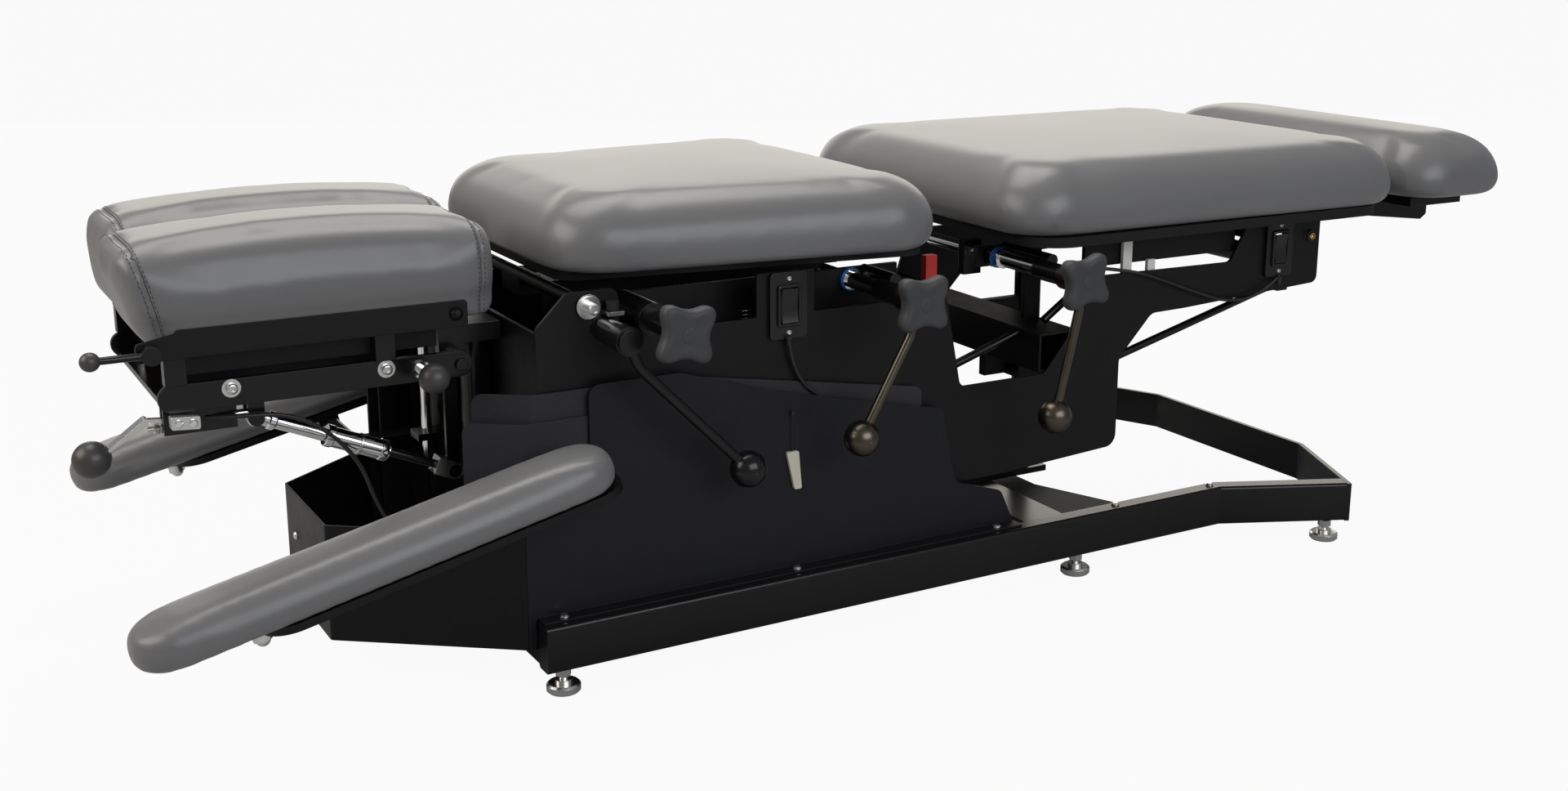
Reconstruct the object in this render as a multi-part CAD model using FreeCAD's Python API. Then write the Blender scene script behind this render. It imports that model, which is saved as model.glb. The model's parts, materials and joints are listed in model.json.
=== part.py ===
"""Elevating treatment table with drop sections, tilting head piece and folding armrests.

Millimetres. X runs along the table from the head end to the foot end, Y across it
with the operating side at minus Y, Z up from the floor. Each piece is saved as its
own solid under parts/. Sizes along X are measured from the head end of the base
rails, and the whole table is moved at saving so that its middle stands at X = 0.
"""
import math
import os

import FreeCAD
import Part

V = FreeCAD.Vector

# General fits and gaps
run_fit = 0.06
slip_gap = 0.3
move_gap = 1.0
sheet = 2.0
half = 0.5
thin_gap = 0.5

# Overall reach of the table
head_reach = 413.0
foot_reach = 1371.0
middle_x = (foot_reach - head_reach) * half

# Base rails of rectangular tube, with flared ends towards the foot
rail_height = 50.8
rail_width = 25.4
rail_wall = 2.6
rail_bottom_z = 26.0
rail_top_z = rail_bottom_z + rail_height
base_half_width = 238.6
bend_x = 925.0
flare_x = 1084.0
flare_half_width = 312.0
rail_corner = 4.0

# Bent strip that closes the base at the foot end
strip_thick = 6.0
strip_x = 1160.0
strip_half_straight = 150.0

# Cross members of the base
member_width = 60.0
member_height = 30.0
member_wall = 3.0
member_bottom_z = 30.0
member_head_x = 30.0
member_foot_x = 683.0

# Levelling feet
foot_radius = 18.0
foot_thick = 10.0
foot_edge = 2.0
foot_hub_radius = 9.0
foot_hub_height = 4.0
stud_radius = 4.8
nut_radius = 8.6
nut_height = 8.0
foot_inset_x = 21.0
foot_mid_x = 698.0
foot_far_inset_x = 24.0
foot_far_inset_y = 20.0
foot_far_x = flare_x - foot_far_inset_x
foot_far_y = flare_half_width - foot_far_inset_y

# Side covers of the base, drawn as an outline in X and Z
cover_gap = 3.2
cover_half_width = base_half_width - rail_width - cover_gap
cover_head_x = -9.0
cover_step_x = 64.0
cover_step_z = 205.0
cover_bottom_z = 45.0
cover_top_z = 320.0
cover_peak_x = 168.0
cover_knee_x = 278.0
cover_knee_z = 286.0
cover_tail_x = 505.0
cover_tail_z = 234.0
cover_drop_x = 525.0
cover_drop_z = 141.0
cover_lip_x = 592.0
cover_lip_z = 120.0
cover_end_x = 612.0
cover_round = 14.0
flange_edge = 10.6
flange_reach = base_half_width - cover_half_width - flange_edge

# Nose cover at the head end, a bent sheet in plan
nose_x = -178.0
nose_half_width = 80.0
nose_top_z = 172.0
nose_bottom_z = 45.0
nose_lap = 10.0

# Telescoping skirts between the base covers and the chassis
skirt_bottom_z = 84.0
skirt_lower_top_z = 287.0
skirt_upper_top_z = 315.0
skirt_step = 4.0
skirt_lower_half_width = cover_half_width - skirt_step
skirt_upper_half_width = skirt_lower_half_width - skirt_step
skirt_head_x = -8.0
skirt_upper_head_x = 4.0
skirt_foot_x = 480.0
skirt_return = 62.0
skirt_round = 12.0
skirt_slope_share = 0.17

# Chassis side plates, drawn as an outline in X and Z
plate_thick = 4.0
plate_half_width = skirt_upper_half_width - skirt_step
plate_head_x = 13.0
plate_bottom_z = 136.0
plate_chamfer_z = 381.0
plate_ear_x = 48.0
plate_ear_z = 416.0
plate_ear_end_x = 104.0
plate_rail_z = 366.0
plate_tab_head_x = 266.0
plate_tab_foot_x = 338.0
plate_tab_z = 414.0
plate_low_x = 800.0
plate_low_z = 363.0
plate_rise_x = 955.0
plate_rise_foot_x = 985.0
plate_end_x = 1112.0
plate_end_top_z = 413.0
plate_end_bottom_z = 322.0
plate_arm_x = 881.0
plate_arm_z = 311.0
plate_knee_x = 827.0
plate_knee_z = 310.0
plate_leg_x = 777.0
plate_leg_z = 258.0
plate_leg_bottom_z = 146.0
plate_round = 16.0
notch_head_x = 514.0
notch_head_low_x = 537.0
notch_foot_low_x = 661.0
notch_foot_mid_x = 700.0
notch_foot_x = 722.0
notch_mid_z = 300.0
notch_bottom_z = 253.0
notch_round = 10.0

# Cross members of the chassis
front_plate_top_z = 377.0
front_plate_bottom_z = 150.0
front_plate_thick = 4.0
beam_offset = 49.0
beam_width = 56.0
beam_top_z = 302.0
beam_height = 48.0
beam_wall = 3.0
tie_tube_radius = 14.0
tie_tube_wall = 2.5
tie_head_x = 235.0
tie_head_z = 330.0
tie_foot_x = 1090.0
tie_foot_z = 345.0
bar_width = 60.0
bar_height = 10.0
shaft_rail_inset = 56.0
shaft_rail_y = plate_half_width - shaft_rail_inset
shaft_rail_thick = 6.0
shaft_rail_head_x = 108.0
shaft_rail_foot_x = 478.0
shaft_rail_top_z = 399.0
stack_inset = 33.0
stand_inset = 86.0
stand_y = plate_half_width - stand_inset
stand_thick = 8.0
stand_width = 24.0
stand_arm = 22.0
stand_arm_height = 24.0
channel_tab = 30.0
post_three_x = 778.0
post_three_radius = 14.0
post_three_wall = 3.0
post_three_bottom_z = 75.0
post_three_top_z = 345.0
post_three_rod_top_z = 325.0
post_clamp_half = 26.0
post_clamp_bottom_z = 196.0
post_gusset_thick = 12.0

# Lift: two telescoping guide columns and a screw actuator
lift_travel = 200.0
column_head_x = 170.0
column_foot_x = 445.0
column_radius = 34.0
column_wall = 3.0
column_top_z = 322.0
inner_radius = 29.0
inner_wall = 4.0
inner_bottom_z = 70.0
inner_top_z = 332.0
column_foot_plate = 8.0
bushing_height = 40.0
actuator_x = 310.0
actuator_radius = 25.0
actuator_bore = 15.5
actuator_top_z = 310.0
actuator_motor_radius = 30.0
actuator_motor_length = 110.0
actuator_motor_z = 128.0
actuator_rod_radius = 12.0
actuator_rod_bottom_z = 88.0
actuator_rod_top_z = 332.0

# Section boards and cushions
board_thick = 12.0
board_bottom_z = 417.0
board_inset = 26.0
cushion_bottom_z = board_bottom_z + board_thick
cushion_top_z = 505.0
chest_head_x = 35.0
chest_foot_x = 494.0
chest_head_half = 192.0
chest_foot_half = 250.0
chest_corner = 62.0
pelvic_head_x = 582.0
pelvic_foot_x = 1211.0
pelvic_half = 277.0
pelvic_corner = 66.0
foot_head_x = 1216.0
foot_foot_x = foot_reach
foot_half = 277.0
foot_corner = 58.0
foot_head_corner = 14.0
foot_cushion_top_z = 504.0
crown_rise = 4.0

# Chest section: spine hinged at the head end, board hinged on it at the foot end
pivot_x = 70.0
pivot_z = 400.0
pivot_radius = 6.0
pivot_stand_off = 18.0
pivot_reach = plate_half_width + pivot_stand_off
pivot_collar_radius = 11.0
pivot_collar = 4.0
spine_half_width = 26.0
spine_bottom_z = 358.0
spine_top_z = 392.0
spine_head_x = 88.0
spine_foot_x = 452.0
board_pin_x = 470.0
board_pin_z = 400.0
lug_radius = 13.0
lug_thick = 8.0
pin_radius = 5.0
bumper_x = 94.0
bumper_radius = 9.0
bumper_height = 10.0

# Pelvic section hinged near its foot end
pelvic_pin_x = 1060.0
pelvic_pin_z = 399.0
pelvic_rail_inset = 80.0
pelvic_rail_y = plate_half_width - pelvic_rail_inset
pelvic_rail_width = 14.0
pelvic_rail_height = 12.0
pelvic_rail_head_x = 720.0
pelvic_band_inset = 18.0
pelvic_band_y = plate_half_width - pelvic_band_inset
pelvic_band_thick = 6.0
pelvic_band_head_x = 726.0
pelvic_band_foot_x = 972.0
pelvic_band_low_z = 375.0

# Foot section on two sliding rails
slide_inset = 48.0
slide_y = plate_half_width - slide_inset
slide_width = 16.0
slide_height = 17.0
slide_bottom_z = 394.0
slide_head_x = 900.0
slide_foot_x = 1352.0
gusset_head_x = 1246.0
gusset_low_z = 381.0
gusset_tip = 11.0
gusset_tip_rise = 7.0
slide_channel_wall = 3.0
slide_channel_head_x = 985.0
slide_channel_foot_x = 1130.0
slide_round = 12.0
foot_cross_x = 1250.0
foot_cross_width = 40.0

# Drop units on the operating side
shaft_radius = 8.0
sleeve_radius = 9.0
ring_radius = 12.0
ring_thick = 3.0
washer_radius = 13.0
washer_thick = 2.5
knob_stand_off = 88.0
knob_y = plate_half_width + knob_stand_off
knob_thick = 24.0
knob_reach = 32.0
lever_stand_off = 75.0
lever_y = plate_half_width + lever_stand_off
lever_hub_radius = 15.0
lever_hub_thick = 18.0
lever_rod_radius = 5.5
ball_radius = 20.0
shaft_one_x = 131.0
shaft_two_x = 413.0
shaft_three_x = 634.0
shaft_one_z = 385.0
shaft_two_z = 386.0
shaft_three_z = 388.0
beam_x = shaft_three_x + beam_offset
lever_one_x = 86.0
lever_one_z = 375.0
lever_one_stand_off = 60.0
lever_one_y = plate_half_width + lever_one_stand_off
lever_barrel_radius = 14.0
lever_rim_radius = 15.8
hub_barrel_radius = 17.0
hub_barrel_length = 42.0
yoke_thick = 12.0
yoke_height = 30.0

# Head carriage and tilting head piece
post_y = 60.0
post_x = -3.0
post_radius = 16.0
post_wall = 2.5
post_bottom_z = 206.0
post_top_z = 352.0
post_standoff = 10.0
head_rod_radius = 13.0
head_lift_travel = 60.0
chrome_rod_x = -40.0
chrome_rod_radius = 5.5
chrome_rod_bottom_z = 150.0
yoke_bar_bottom_z = 353.0
yoke_bar_height = 20.0
yoke_bar_depth = 34.0
yoke_bar_half = 92.0
tilt_x = -42.0
tilt_z = 338.0
tilt_pin_radius = 6.0
frame_half_width = 130.0
frame_bar_thick = 6.0
frame_bar_height = 27.0
frame_head_x = -337.0
frame_foot_x = -30.0
frame_top_z = 352.0
frame_cross_width = 30.0
slide_rod_radius = 6.0
bracket_half_width = 158.0
bracket_thick = 4.0
bracket_height = 31.0
bracket_top_z = 411.0
bracket_bottom_z = 380.0
bracket_head_x = -322.0
bracket_foot_x = -42.0
bracket_floor_z = 384.0
bolster_head_x = -360.0
bolster_foot_x = -6.0
bolster_half = 160.0
bolster_gap_half = 6.0
bolster_bottom_z = 388.0
bolster_top_z = 489.0
bolster_crown = 13.0
bolster_round = 46.0
bolster_end_bulge = 18.0
bolster_mid_bulge = 12.0

# Locking strut between the head frame and the lower strut lug
strut_top_x = -244.0
strut_top_z = 304.0
strut_low_x = -45.0
strut_low_z = 218.0
strut_y = 100.0
strut_thin_radius = 9.0
strut_body_radius = 10.5
strut_rod_radius = 4.5
strut_bore = 5.0
strut_eye_radius = 9.0
strut_pin_radius = 3.4
strut_open_gap = 3.6

# Release lever of the strut
release_x = -300.0
release_z = 322.0
release_ball_x = -395.0
release_ball_z = 282.0
release_ball_radius = 18.0
release_bar_width = 14.0
release_bar_thick = 3.0

# Clamp handle and lock knob of the head piece
clamp_x = -345.0
clamp_z = 392.0
clamp_ball_radius = 9.0
clamp_arm_length = 48.0
clamp_arm_radius = 3.6
lock_x = -84.0
lock_z = 338.0
lock_ball_radius = 15.5
lock_stem_radius = 5.0
lock_stem_length = 34.0

# Armrests
arm_stand_off = 58.0
arm_y = cover_half_width + arm_stand_off
arm_length = 474.0
arm_far_shift = 31.0
arm_width = 84.0
arm_thick = 42.0
arm_tilt_share = 0.2285
arm_plate_width = 74.0
arm_plate_thick = 8.0
arm_plate_past = 4.0
arm_tube_x = -84.0
arm_tube_z = 186.0
arm_tube_radius = 11.0
arm_tube_wall = 2.5

# Small parts on the chassis
bezel_width = 46.0
bezel_height = 74.0
bezel_thick = 5.0
bezel_one_x = 303.0
bezel_one_z = 377.0
bezel_two_x = 1036.0
bezel_two_z = 375.0
rocker_width = 20.0
rocker_height = 38.0
rocker_thick = 9.0
jack_x = 1094.0
jack_z = 386.0
jack_radius = 8.0

# Small pieces on the chassis
brace_inset = 48.0
brace_y = plate_half_width - brace_inset
brace_radius = 5.0
brace_one_head_x = 478.0
brace_one_head_z = 240.0
brace_one_foot_x = 657.0
brace_one_foot_z = 296.0
brace_two_head_x = 694.0
brace_two_head_z = 306.0
brace_two_foot_x = 745.0
brace_two_foot_z = 340.0
brace_three_head_x = 748.0
brace_three_head_z = 229.0
brace_three_foot_x = 1088.0
brace_three_foot_z = 314.0
brace_one = (brace_one_head_x, brace_one_head_z, brace_one_foot_x, brace_one_foot_z)
brace_two = (brace_two_head_x, brace_two_head_z, brace_two_foot_x, brace_two_foot_z)
brace_three = (brace_three_head_x, brace_three_head_z, brace_three_foot_x, brace_three_foot_z)
brace_foot = 9.0
strip_white_x = 780.0
strip_white_width = 14.0
strip_white_depth = 5.0
strip_white_top_z = 409.0
block_red_x = 488.0
block_red_width = 15.0
block_red_top_z = 413.0
block_leg = 60.0
block_pale_x = 820.0
block_pale_width = 12.0
block_pale_low_z = 345.0
block_pale_top_z = 378.0
block_depth = 14.0
wedge_x = 302.0
wedge_y = 212.6
wedge_top_z = 214.0
wedge_height = 44.0
wedge_width = 15.0
wedge_depth = 4.0
wedge_low_share = 0.6
wedge_lean = 7.0
string_radius = 0.5
string_top_z = 262.0
bracket_arm_y = 140.0
bracket_arm_thick = 24.0
bracket_arm_bottom_z = 178.0
bracket_arm_height = 16.0
guide_bottom_z = 226.0
guide_height = 8.0
guide_half_width = 14.0
weld_bottom_z = 226.0
weld_height = 24.0
cable_radius = 2.2
cable_stand_off = 6.6
cable_y = plate_half_width + cable_stand_off
cable_bend_limit = 132.0

# Head details
lug_inner_y = 92.0
lug_outer_y = 104.0
lug_head_x = -56.0
lug_foot_x = -28.0
lug_low_z = 326.0
carriage_arm_x = -45.0
carriage_arm_width = 14.0
carriage_arm_thick = 6.0
carriage_arm_low_z = 208.0
cross_one_x = -330.0
cross_two_x = -130.0
strut_lug_half = 8.0
strut_lug_thick = 4.0
strut_eye_thick = 14.0
strut_gap_share = 0.35
strut_body_share = 0.65
strut_bush = 20.0
strut_fork_root = 8.0
spacer_width = 20.0
spacer_thick = 14.0
release_block_head_x = -330.0
release_block_foot_x = -262.0
release_block_half = 9.0
release_pivot_x = -318.0
release_pivot_z = 310.0
release_eye_radius = 6.0
release_slot_half = 4.0
release_bend_x = -346.0
release_bend_z = 314.0
release_low_x = -383.0
release_low_z = 288.0
clamp_ear_head_x = -357.0
dome_bolt_x = -54.0
dome_bolt_z = 398.0
bar_screw_head_x = -270.0
bar_screw_foot_x = -119.5
bar_screw_z = 343.0
bar_washer_radius = 9.0
bar_washer_thick = 1.6
bar_screw_xs = (bar_screw_head_x, bar_screw_foot_x)
lip_y = 112.0
lip_thick = 4.0
lip_low_z = 357.0
lip_head_x = -318.0
lip_foot_x = -62.0

# Sections and their frames
chest_board_inset = 44.0
pivot_tube_radius = 7.4
pivot_tube_inset = 10.0
pivot_tube_half = plate_half_width - pivot_tube_inset
spine_wall = 3.0
board_lug_y = 34.0
cross_plate_depth = 40.0
cushion_bulge = 5.0
cushion_seam_share = 0.42
cushion_edge = 24.0
foot_board_head_x = 1244.0
foot_board_foot_x = 1342.0
foot_board_half = 232.0
pelvic_cross_xs = (740.0, 900.0)

# Drop details
knob_bore_depth = 6.0
sleeve_two_inset = 45.0
sleeve_two_y = plate_half_width - sleeve_two_inset
sleeve_three_inset = 55.0
sleeve_three_y = plate_half_width - sleeve_three_inset
sleeve_stand_off = 17.0
sleeve_black_y = plate_half_width + sleeve_stand_off
blue_ring_radius = 13.5
blue_ring_three_radius = 11.5
blue_ring_thick = 4.7
collar_three_radius = 13.0
collar_three_length = 14.0
shaft_two_head_y = 92.0
shaft_three_head_y = -10.0
stub_inset = 38.0
stub_head_y = plate_half_width - stub_inset
cam_y = 60.0
guide_pin_radius = 7.5
guide_pin_dx = 20.0
guide_pin_dz = 8.0
cam_radius = 13.0
cam_thick = 20.0
arm_lug_head = 12.0
arm_lug_stand_off = 24.0
arm_lug_thick = 24.0
arm_lug_inner_y = cover_half_width + arm_lug_stand_off
arm_lug_outer_y = arm_lug_inner_y + arm_lug_thick
arm_pin_radius = 7.0
arm_pin_past = 4.0
arm_pin_reach = arm_lug_outer_y + arm_pin_past
arm_tube_end_gap = 8.0
cap_nut_radius = 9.0
cap_nut_height = 9.0
cap_nut_one_x = -135.0
cap_nut_one_z = 165.0
cap_nut_two_x = -285.0
cap_nut_two_z = 133.0
cap_nut_places = ((cap_nut_one_x, cap_nut_one_z), (cap_nut_two_x, cap_nut_two_z))

# Head and cable sizes
bolster_foot_half = 153.0
bolster_inner_share = 0.75
bolster_end_share = 0.74
bolster_mid_share = 0.93
strut_inner_share = 0.36
strut_gap = 5.0
rocker_pin_radius = 2.0
bend_reach_share = 0.45
cable_one_head_x = 302.0
cable_one_foot_x = 428.0
cable_one_top_z = 340.8
cable_one_low_z = 246.5
cable_one_shares = ((0.0, 0.0), (0.032, 0.433), (0.381, 0.836), (0.714, 0.936), (1.0, 1.0))
cable_two_head_x = 750.0
cable_two_foot_x = 1036.0
cable_two_top_z = 373.0
cable_two_low_z = 313.5
cable_two_root_inset = 8.0
cable_two_root_y = plate_half_width - cable_two_root_inset
cable_two_shares = ((0.0, 0.0), (0.14, 0.08), (0.308, 0.353), (0.5, 0.706), (0.682, 1.0), (0.874, 0.983),
                    (1.0, 0.593))
release_cable_head_x = -292.0
release_cable_foot_x = -53.0
release_cable_top_z = 311.0
release_cable_low_z = 157.0
release_cable_shares = ((0.0, 0.0), (0.126, -0.003), (0.318, 0.019), (0.485, 0.182), (0.611, 0.435),
                        (0.661, 0.701), (0.728, 0.916), (0.854, 1.0), (0.962, 0.916), (1.0, 0.747))
release_cable_steps = (8.0, 21.5, 21.5, 19.0, 17.0, 17.0, 16.0, 14.0, 10.0, 7.0)

# Cushion shapes: how far the outline is drawn in, at shares of the height
chest_levels = ((0.0, 6.0), (0.3, 0.0), (0.66, 2.0), (0.88, 13.0), (0.97, 34.0), (1.0, 66.0))
flat_levels = ((0.0, 5.0), (0.3, 0.0), (0.72, 1.5), (0.89, 9.0), (0.965, 24.0), (1.0, 60.0))
foot_levels = ((0.0, 5.0), (0.28, 0.0), (0.65, 2.5), (0.86, 12.0), (0.965, 28.0), (1.0, 50.0))
pad_levels = ((0.0, 8.0), (0.2, 1.0), (0.5, 0.0), (0.85, 5.0), (1.0, 18.0))
pad_corner = 38.0
foot_inset_share = 0.9
arm_outer_x = -402.0
arm_outer_z = 151.6
arm_plate_share = 0.2286
pelvic_top_z = 509.0
runner_width = 20.0
runner_height = 16.0
runner_xs = (60.0, 380.0)
corner_shrink_share = 0.5
barrel_head_y = shaft_rail_y + shaft_rail_thick + slip_gap
barrel_stand_off = 27.6
barrel_foot_y = plate_half_width + barrel_stand_off
lever_one_bend_x = 100.0
lever_one_bend_z = 344.0
lever_one_ball_x = 223.0
lever_one_ball_z = 219.0
lever_two_bend_x = 419.0
lever_two_bend_z = 350.0
lever_two_ball_x = 355.0
lever_two_ball_z = 237.0
lever_three_bend_x = 651.0
lever_three_bend_z = 355.0
lever_three_ball_x = 620.0
lever_three_ball_z = 224.0
lever_root = 10.0
knob_lobes = 4
knob_lobe_half = 0.42
knob_lobe_round = 9.0
knob_waist = 17.5
knob_hollow_round = 9.0
knob_edge = 3.0
knob_turns = (38.0, 45.0, 52.0)
quarter_turn = 90.0
knob_boss_radius = 14.0

# Details shared by several pieces
bolt_head_radius = 7.0
bolt_head_height = 4.5
screw_radius = 2.2
screw_head_radius = 5.0
screw_head_height = 3.2
screw_length = 9.0
flange_thick = 2.0
flange_screw_inset = 17.6
flange_screw_y = base_half_width - flange_screw_inset
flange_screw_head_x = 26.0
flange_screw_mid_x = 304.0
flange_screw_foot_x = 579.0
flange_screw_xs = (flange_screw_head_x, flange_screw_mid_x, flange_screw_foot_x)
rail_screw_inset = 14.6
rail_screw_y = base_half_width - rail_screw_inset
rail_screw_mid_x = 760.0
rail_screw_foot_x = 917.0
rail_screw_xs = (rail_screw_mid_x, rail_screw_foot_x)
nose_screw_y = 39.0
nose_screw_z = 124.0
bar_head_xs = (column_head_x, actuator_x, column_foot_x)
member_xs = (member_head_x, column_head_x, actuator_x, column_foot_x, member_foot_x)

both_sides = (-1, 1)
saved = []


# Simple shapes
def box(x0, x1, y0, y1, z0, z1):
    return Part.makeBox(x1 - x0, y1 - y0, z1 - z0, V(x0, y0, z0))


def cyl(x, y, z, axis, radius, length):
    return Part.makeCylinder(radius, length, V(x, y, z), axis)


def tube(x, y, z, axis, outer, bore, length):
    return cyl(x, y, z, axis, outer, length).cut(cyl(x, y, z, axis, bore, length))


# A ball whose seam faces down, away from the rod that enters it
def ball(x, y, z, radius):
    solid = Part.makeSphere(radius)
    solid.rotate(V(0, 0, 0), ALONG, quarter_turn)
    solid.rotate(V(0, 0, 0), ACROSS, quarter_turn)
    solid.translate(V(x, y, z))
    return solid


UP = V(0, 0, 1)
ALONG = V(1, 0, 0)
ACROSS = V(0, 1, 0)


def join(first, *others):
    whole = first.fuse(list(others)) if others else first
    return whole.removeSplitter()


def mirror(shape):
    return shape.mirror(V(0, 0, 0), ACROSS)


def group(*solids):
    return Part.makeCompound(list(solids))


# A closed outline with its corners rounded, from points (a, b, radius)
def outline(points, place):
    edges = []
    marks = []
    count = len(points)
    for i in range(count):
        a, b, radius = points[i]
        corner = V(a, b, 0)
        before = V(points[i - 1][0], points[i - 1][1], 0)
        after = V(points[(i + 1) % count][0], points[(i + 1) % count][1], 0)
        if radius == 0:
            marks.append((corner, None, corner))
            continue
        u = (before - corner).normalize()
        w = (after - corner).normalize()
        turn = u.getAngle(w) * half
        reach = radius / math.tan(turn)
        spine = (u + w).normalize()
        centre = corner + spine * (radius / math.sin(turn))
        marks.append((corner + u * reach, centre - spine * radius, corner + w * reach))
    for i in range(count):
        start, middle, end = marks[i]
        if middle is not None:
            edges.append(Part.Arc(place(start), place(middle), place(end)).toShape())
        following = marks[(i + 1) % count][0]
        if (following - end).Length > run_fit:
            edges.append(Part.LineSegment(place(end), place(following)).toShape())
    return Part.Wire(edges)


# An outline in X and Z, given thickness from y0 to y1
def upright(points, y0, y1):
    wire = outline(points, lambda p: V(p.x, y0, p.y))
    return Part.Face(wire).extrude(V(0, y1 - y0, 0))


# An outline in X and Y, given height from z0 to z1
def plan(points, z0, z1):
    wire = outline(points, lambda p: V(p.x, p.y, z0))
    return Part.Face(wire).extrude(V(0, 0, z1 - z0))


# An outline in Y and Z, given length from x0 to x1
def lengthwise(points, x0, x1):
    wire = outline(points, lambda p: V(x0, p.x, p.y))
    return Part.Face(wire).extrude(V(x1 - x0, 0, 0))


# A round rod or cable along straight runs joined by tangent arcs
def bent_rod(points, radius, bend_share, largest_bend):
    edges = []
    start = points[0]
    for i in range(1, len(points) - 1):
        corner = points[i]
        u = (points[i - 1] - corner)
        w = (points[i + 1] - corner)
        shorter = min(u.Length, w.Length)
        turn = u.getAngle(w) * half
        reach = bend_share * shorter
        radius_here = min(reach * math.tan(turn), largest_bend)
        reach = radius_here / math.tan(turn)
        u.normalize()
        w.normalize()
        spine = (u + w).normalize()
        centre = corner + spine * (radius_here / math.sin(turn))
        edges.append(Part.LineSegment(start, corner + u * reach).toShape())
        edges.append(Part.Arc(corner + u * reach, centre - spine * radius_here, corner + w * reach).toShape())
        start = corner + w * reach
        print("bend radius", round(radius_here, 1))
    edges.append(Part.LineSegment(start, points[-1]).toShape())
    path = Part.Wire(edges)
    ring = Part.Wire([Part.makeCircle(radius, points[0], points[1] - points[0])])
    return path.makePipeShell([ring], True, True)


def save(name, shape):
    placed = shape.copy()
    placed.translate(V(-middle_x, 0, 0))
    placed.exportStep("parts/" + name + ".step")
    saved.append((name, placed))


# Lines in plan that the rails and the strip share
def crossing(p, d, q, e):
    scale = ((q.x - p.x) * e.y - (q.y - p.y) * e.x) / (d.x * e.y - d.y * e.x)
    return p + d * scale


def shifted(p, d, distance):
    unit = V(d).normalize()
    return p + V(-unit.y, unit.x, 0) * distance


strip_dir = V(strip_x - flare_x, flare_half_width - strip_half_straight, 0)
flare_dir = V(flare_x - bend_x, base_half_width - flare_half_width, 0)
rail_dir = V(1, 0, 0)
corner_out = V(flare_x, -flare_half_width, 0)
bend_out = V(bend_x, -base_half_width, 0)
seat_point = shifted(corner_out, strip_dir, strip_thick)


# Plan of the near rail, drawn in by a margin from its outer faces
def rail_plan(margin, head, past_end):
    outer_bend = crossing(shifted(bend_out, rail_dir, margin), rail_dir,
                          shifted(bend_out, flare_dir, margin), flare_dir)
    inner = rail_width - margin
    inner_bend = crossing(shifted(bend_out, rail_dir, inner), rail_dir,
                          shifted(bend_out, flare_dir, inner), flare_dir)
    seat = shifted(seat_point, strip_dir, -past_end)
    outer_end = crossing(shifted(bend_out, flare_dir, margin), flare_dir, seat, strip_dir)
    inner_end = crossing(shifted(bend_out, flare_dir, inner), flare_dir, seat, strip_dir)
    y_out = -base_half_width + margin
    y_in = -base_half_width + inner
    points = [V(head, y_out, 0), outer_bend, outer_end, inner_end, inner_bend, V(head, y_in, 0)]
    return [(p.x, p.y, 0) for p in points]


def foot_places():
    return ((foot_inset_x, base_half_width - rail_width * half),
            (foot_mid_x, base_half_width - rail_width * half),
            (foot_far_x, foot_far_y))


def base_rail():
    solid = plan(rail_plan(0, 0, 0), rail_bottom_z, rail_top_z)
    long_edges = [e for e in solid.Edges if e.Length > rail_height * 2]
    solid = solid.makeFillet(rail_corner, long_edges)
    hollow = plan(rail_plan(rail_wall, rail_wall, strip_thick * half),
                  rail_bottom_z + rail_wall, rail_top_z - rail_wall)
    solid = solid.cut(hollow)
    for x, y in foot_places():
        solid = solid.cut(cyl(x, -y, rail_bottom_z - rail_wall, UP, stud_radius + slip_gap, rail_wall * 3))
    for x in flange_screw_xs:
        solid = solid.cut(cyl(x, -flange_screw_y, rail_top_z - rail_wall * 2, UP,
                              screw_radius + slip_gap, rail_wall * 3))
    for x in rail_screw_xs:
        solid = solid.cut(cyl(x, -rail_screw_y, rail_top_z - rail_wall * 2, UP,
                              screw_radius + slip_gap, rail_wall * 3))
    return solid


def foot_end_bumper():
    bend = 14.0
    outer = [(flare_x, -flare_half_width, 0), (strip_x, -strip_half_straight, bend),
             (strip_x, strip_half_straight, bend), (flare_x, flare_half_width, 0)]
    side = V(strip_dir).normalize()
    knee = crossing(shifted(corner_out, strip_dir, strip_thick), strip_dir,
                    V(strip_x - strip_thick, 0, 0), V(0, 1, 0))
    tail = crossing(seat_point, strip_dir, corner_out, flare_dir)
    inner = [(tail.x, -tail.y, 0), (knee.x, -knee.y, bend - strip_thick),
             (knee.x, knee.y, bend - strip_thick), (tail.x, tail.y, 0)]
    return plan(outer + inner, rail_bottom_z, rail_top_z)


def base_cross_members():
    inner_y = base_half_width - rail_width
    parts = []
    for x in member_xs:
        x0 = x - member_width * half
        x1 = x + member_width * half
        z1 = member_bottom_z + member_height
        solid = box(x0, x1, -inner_y, inner_y, member_bottom_z, z1)
        solid = solid.cut(box(x0 + member_wall, x1 - member_wall, -inner_y, inner_y,
                              member_bottom_z + member_wall, z1 - member_wall))
        parts.append(solid)
    return group(*parts)


def levelling_feet():
    parts = []
    for x, y in foot_places():
        for side in both_sides:
            pad = cyl(x, side * y, 0, UP, foot_radius, foot_thick)
            rims = [e for e in pad.Edges if e.Length > foot_radius * 3]
            pad = pad.makeChamfer(foot_edge, rims)
            hub = cyl(x, side * y, foot_thick, UP, foot_hub_radius, foot_hub_height)
            stud_top = rail_bottom_z + rail_wall * 5
            stud = cyl(x, side * y, foot_thick, UP, stud_radius, stud_top - foot_thick)
            parts.append(join(pad, hub, stud))
            parts.append(hex_nut(x, side * y, rail_bottom_z - nut_height))
    return group(*parts)


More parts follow.
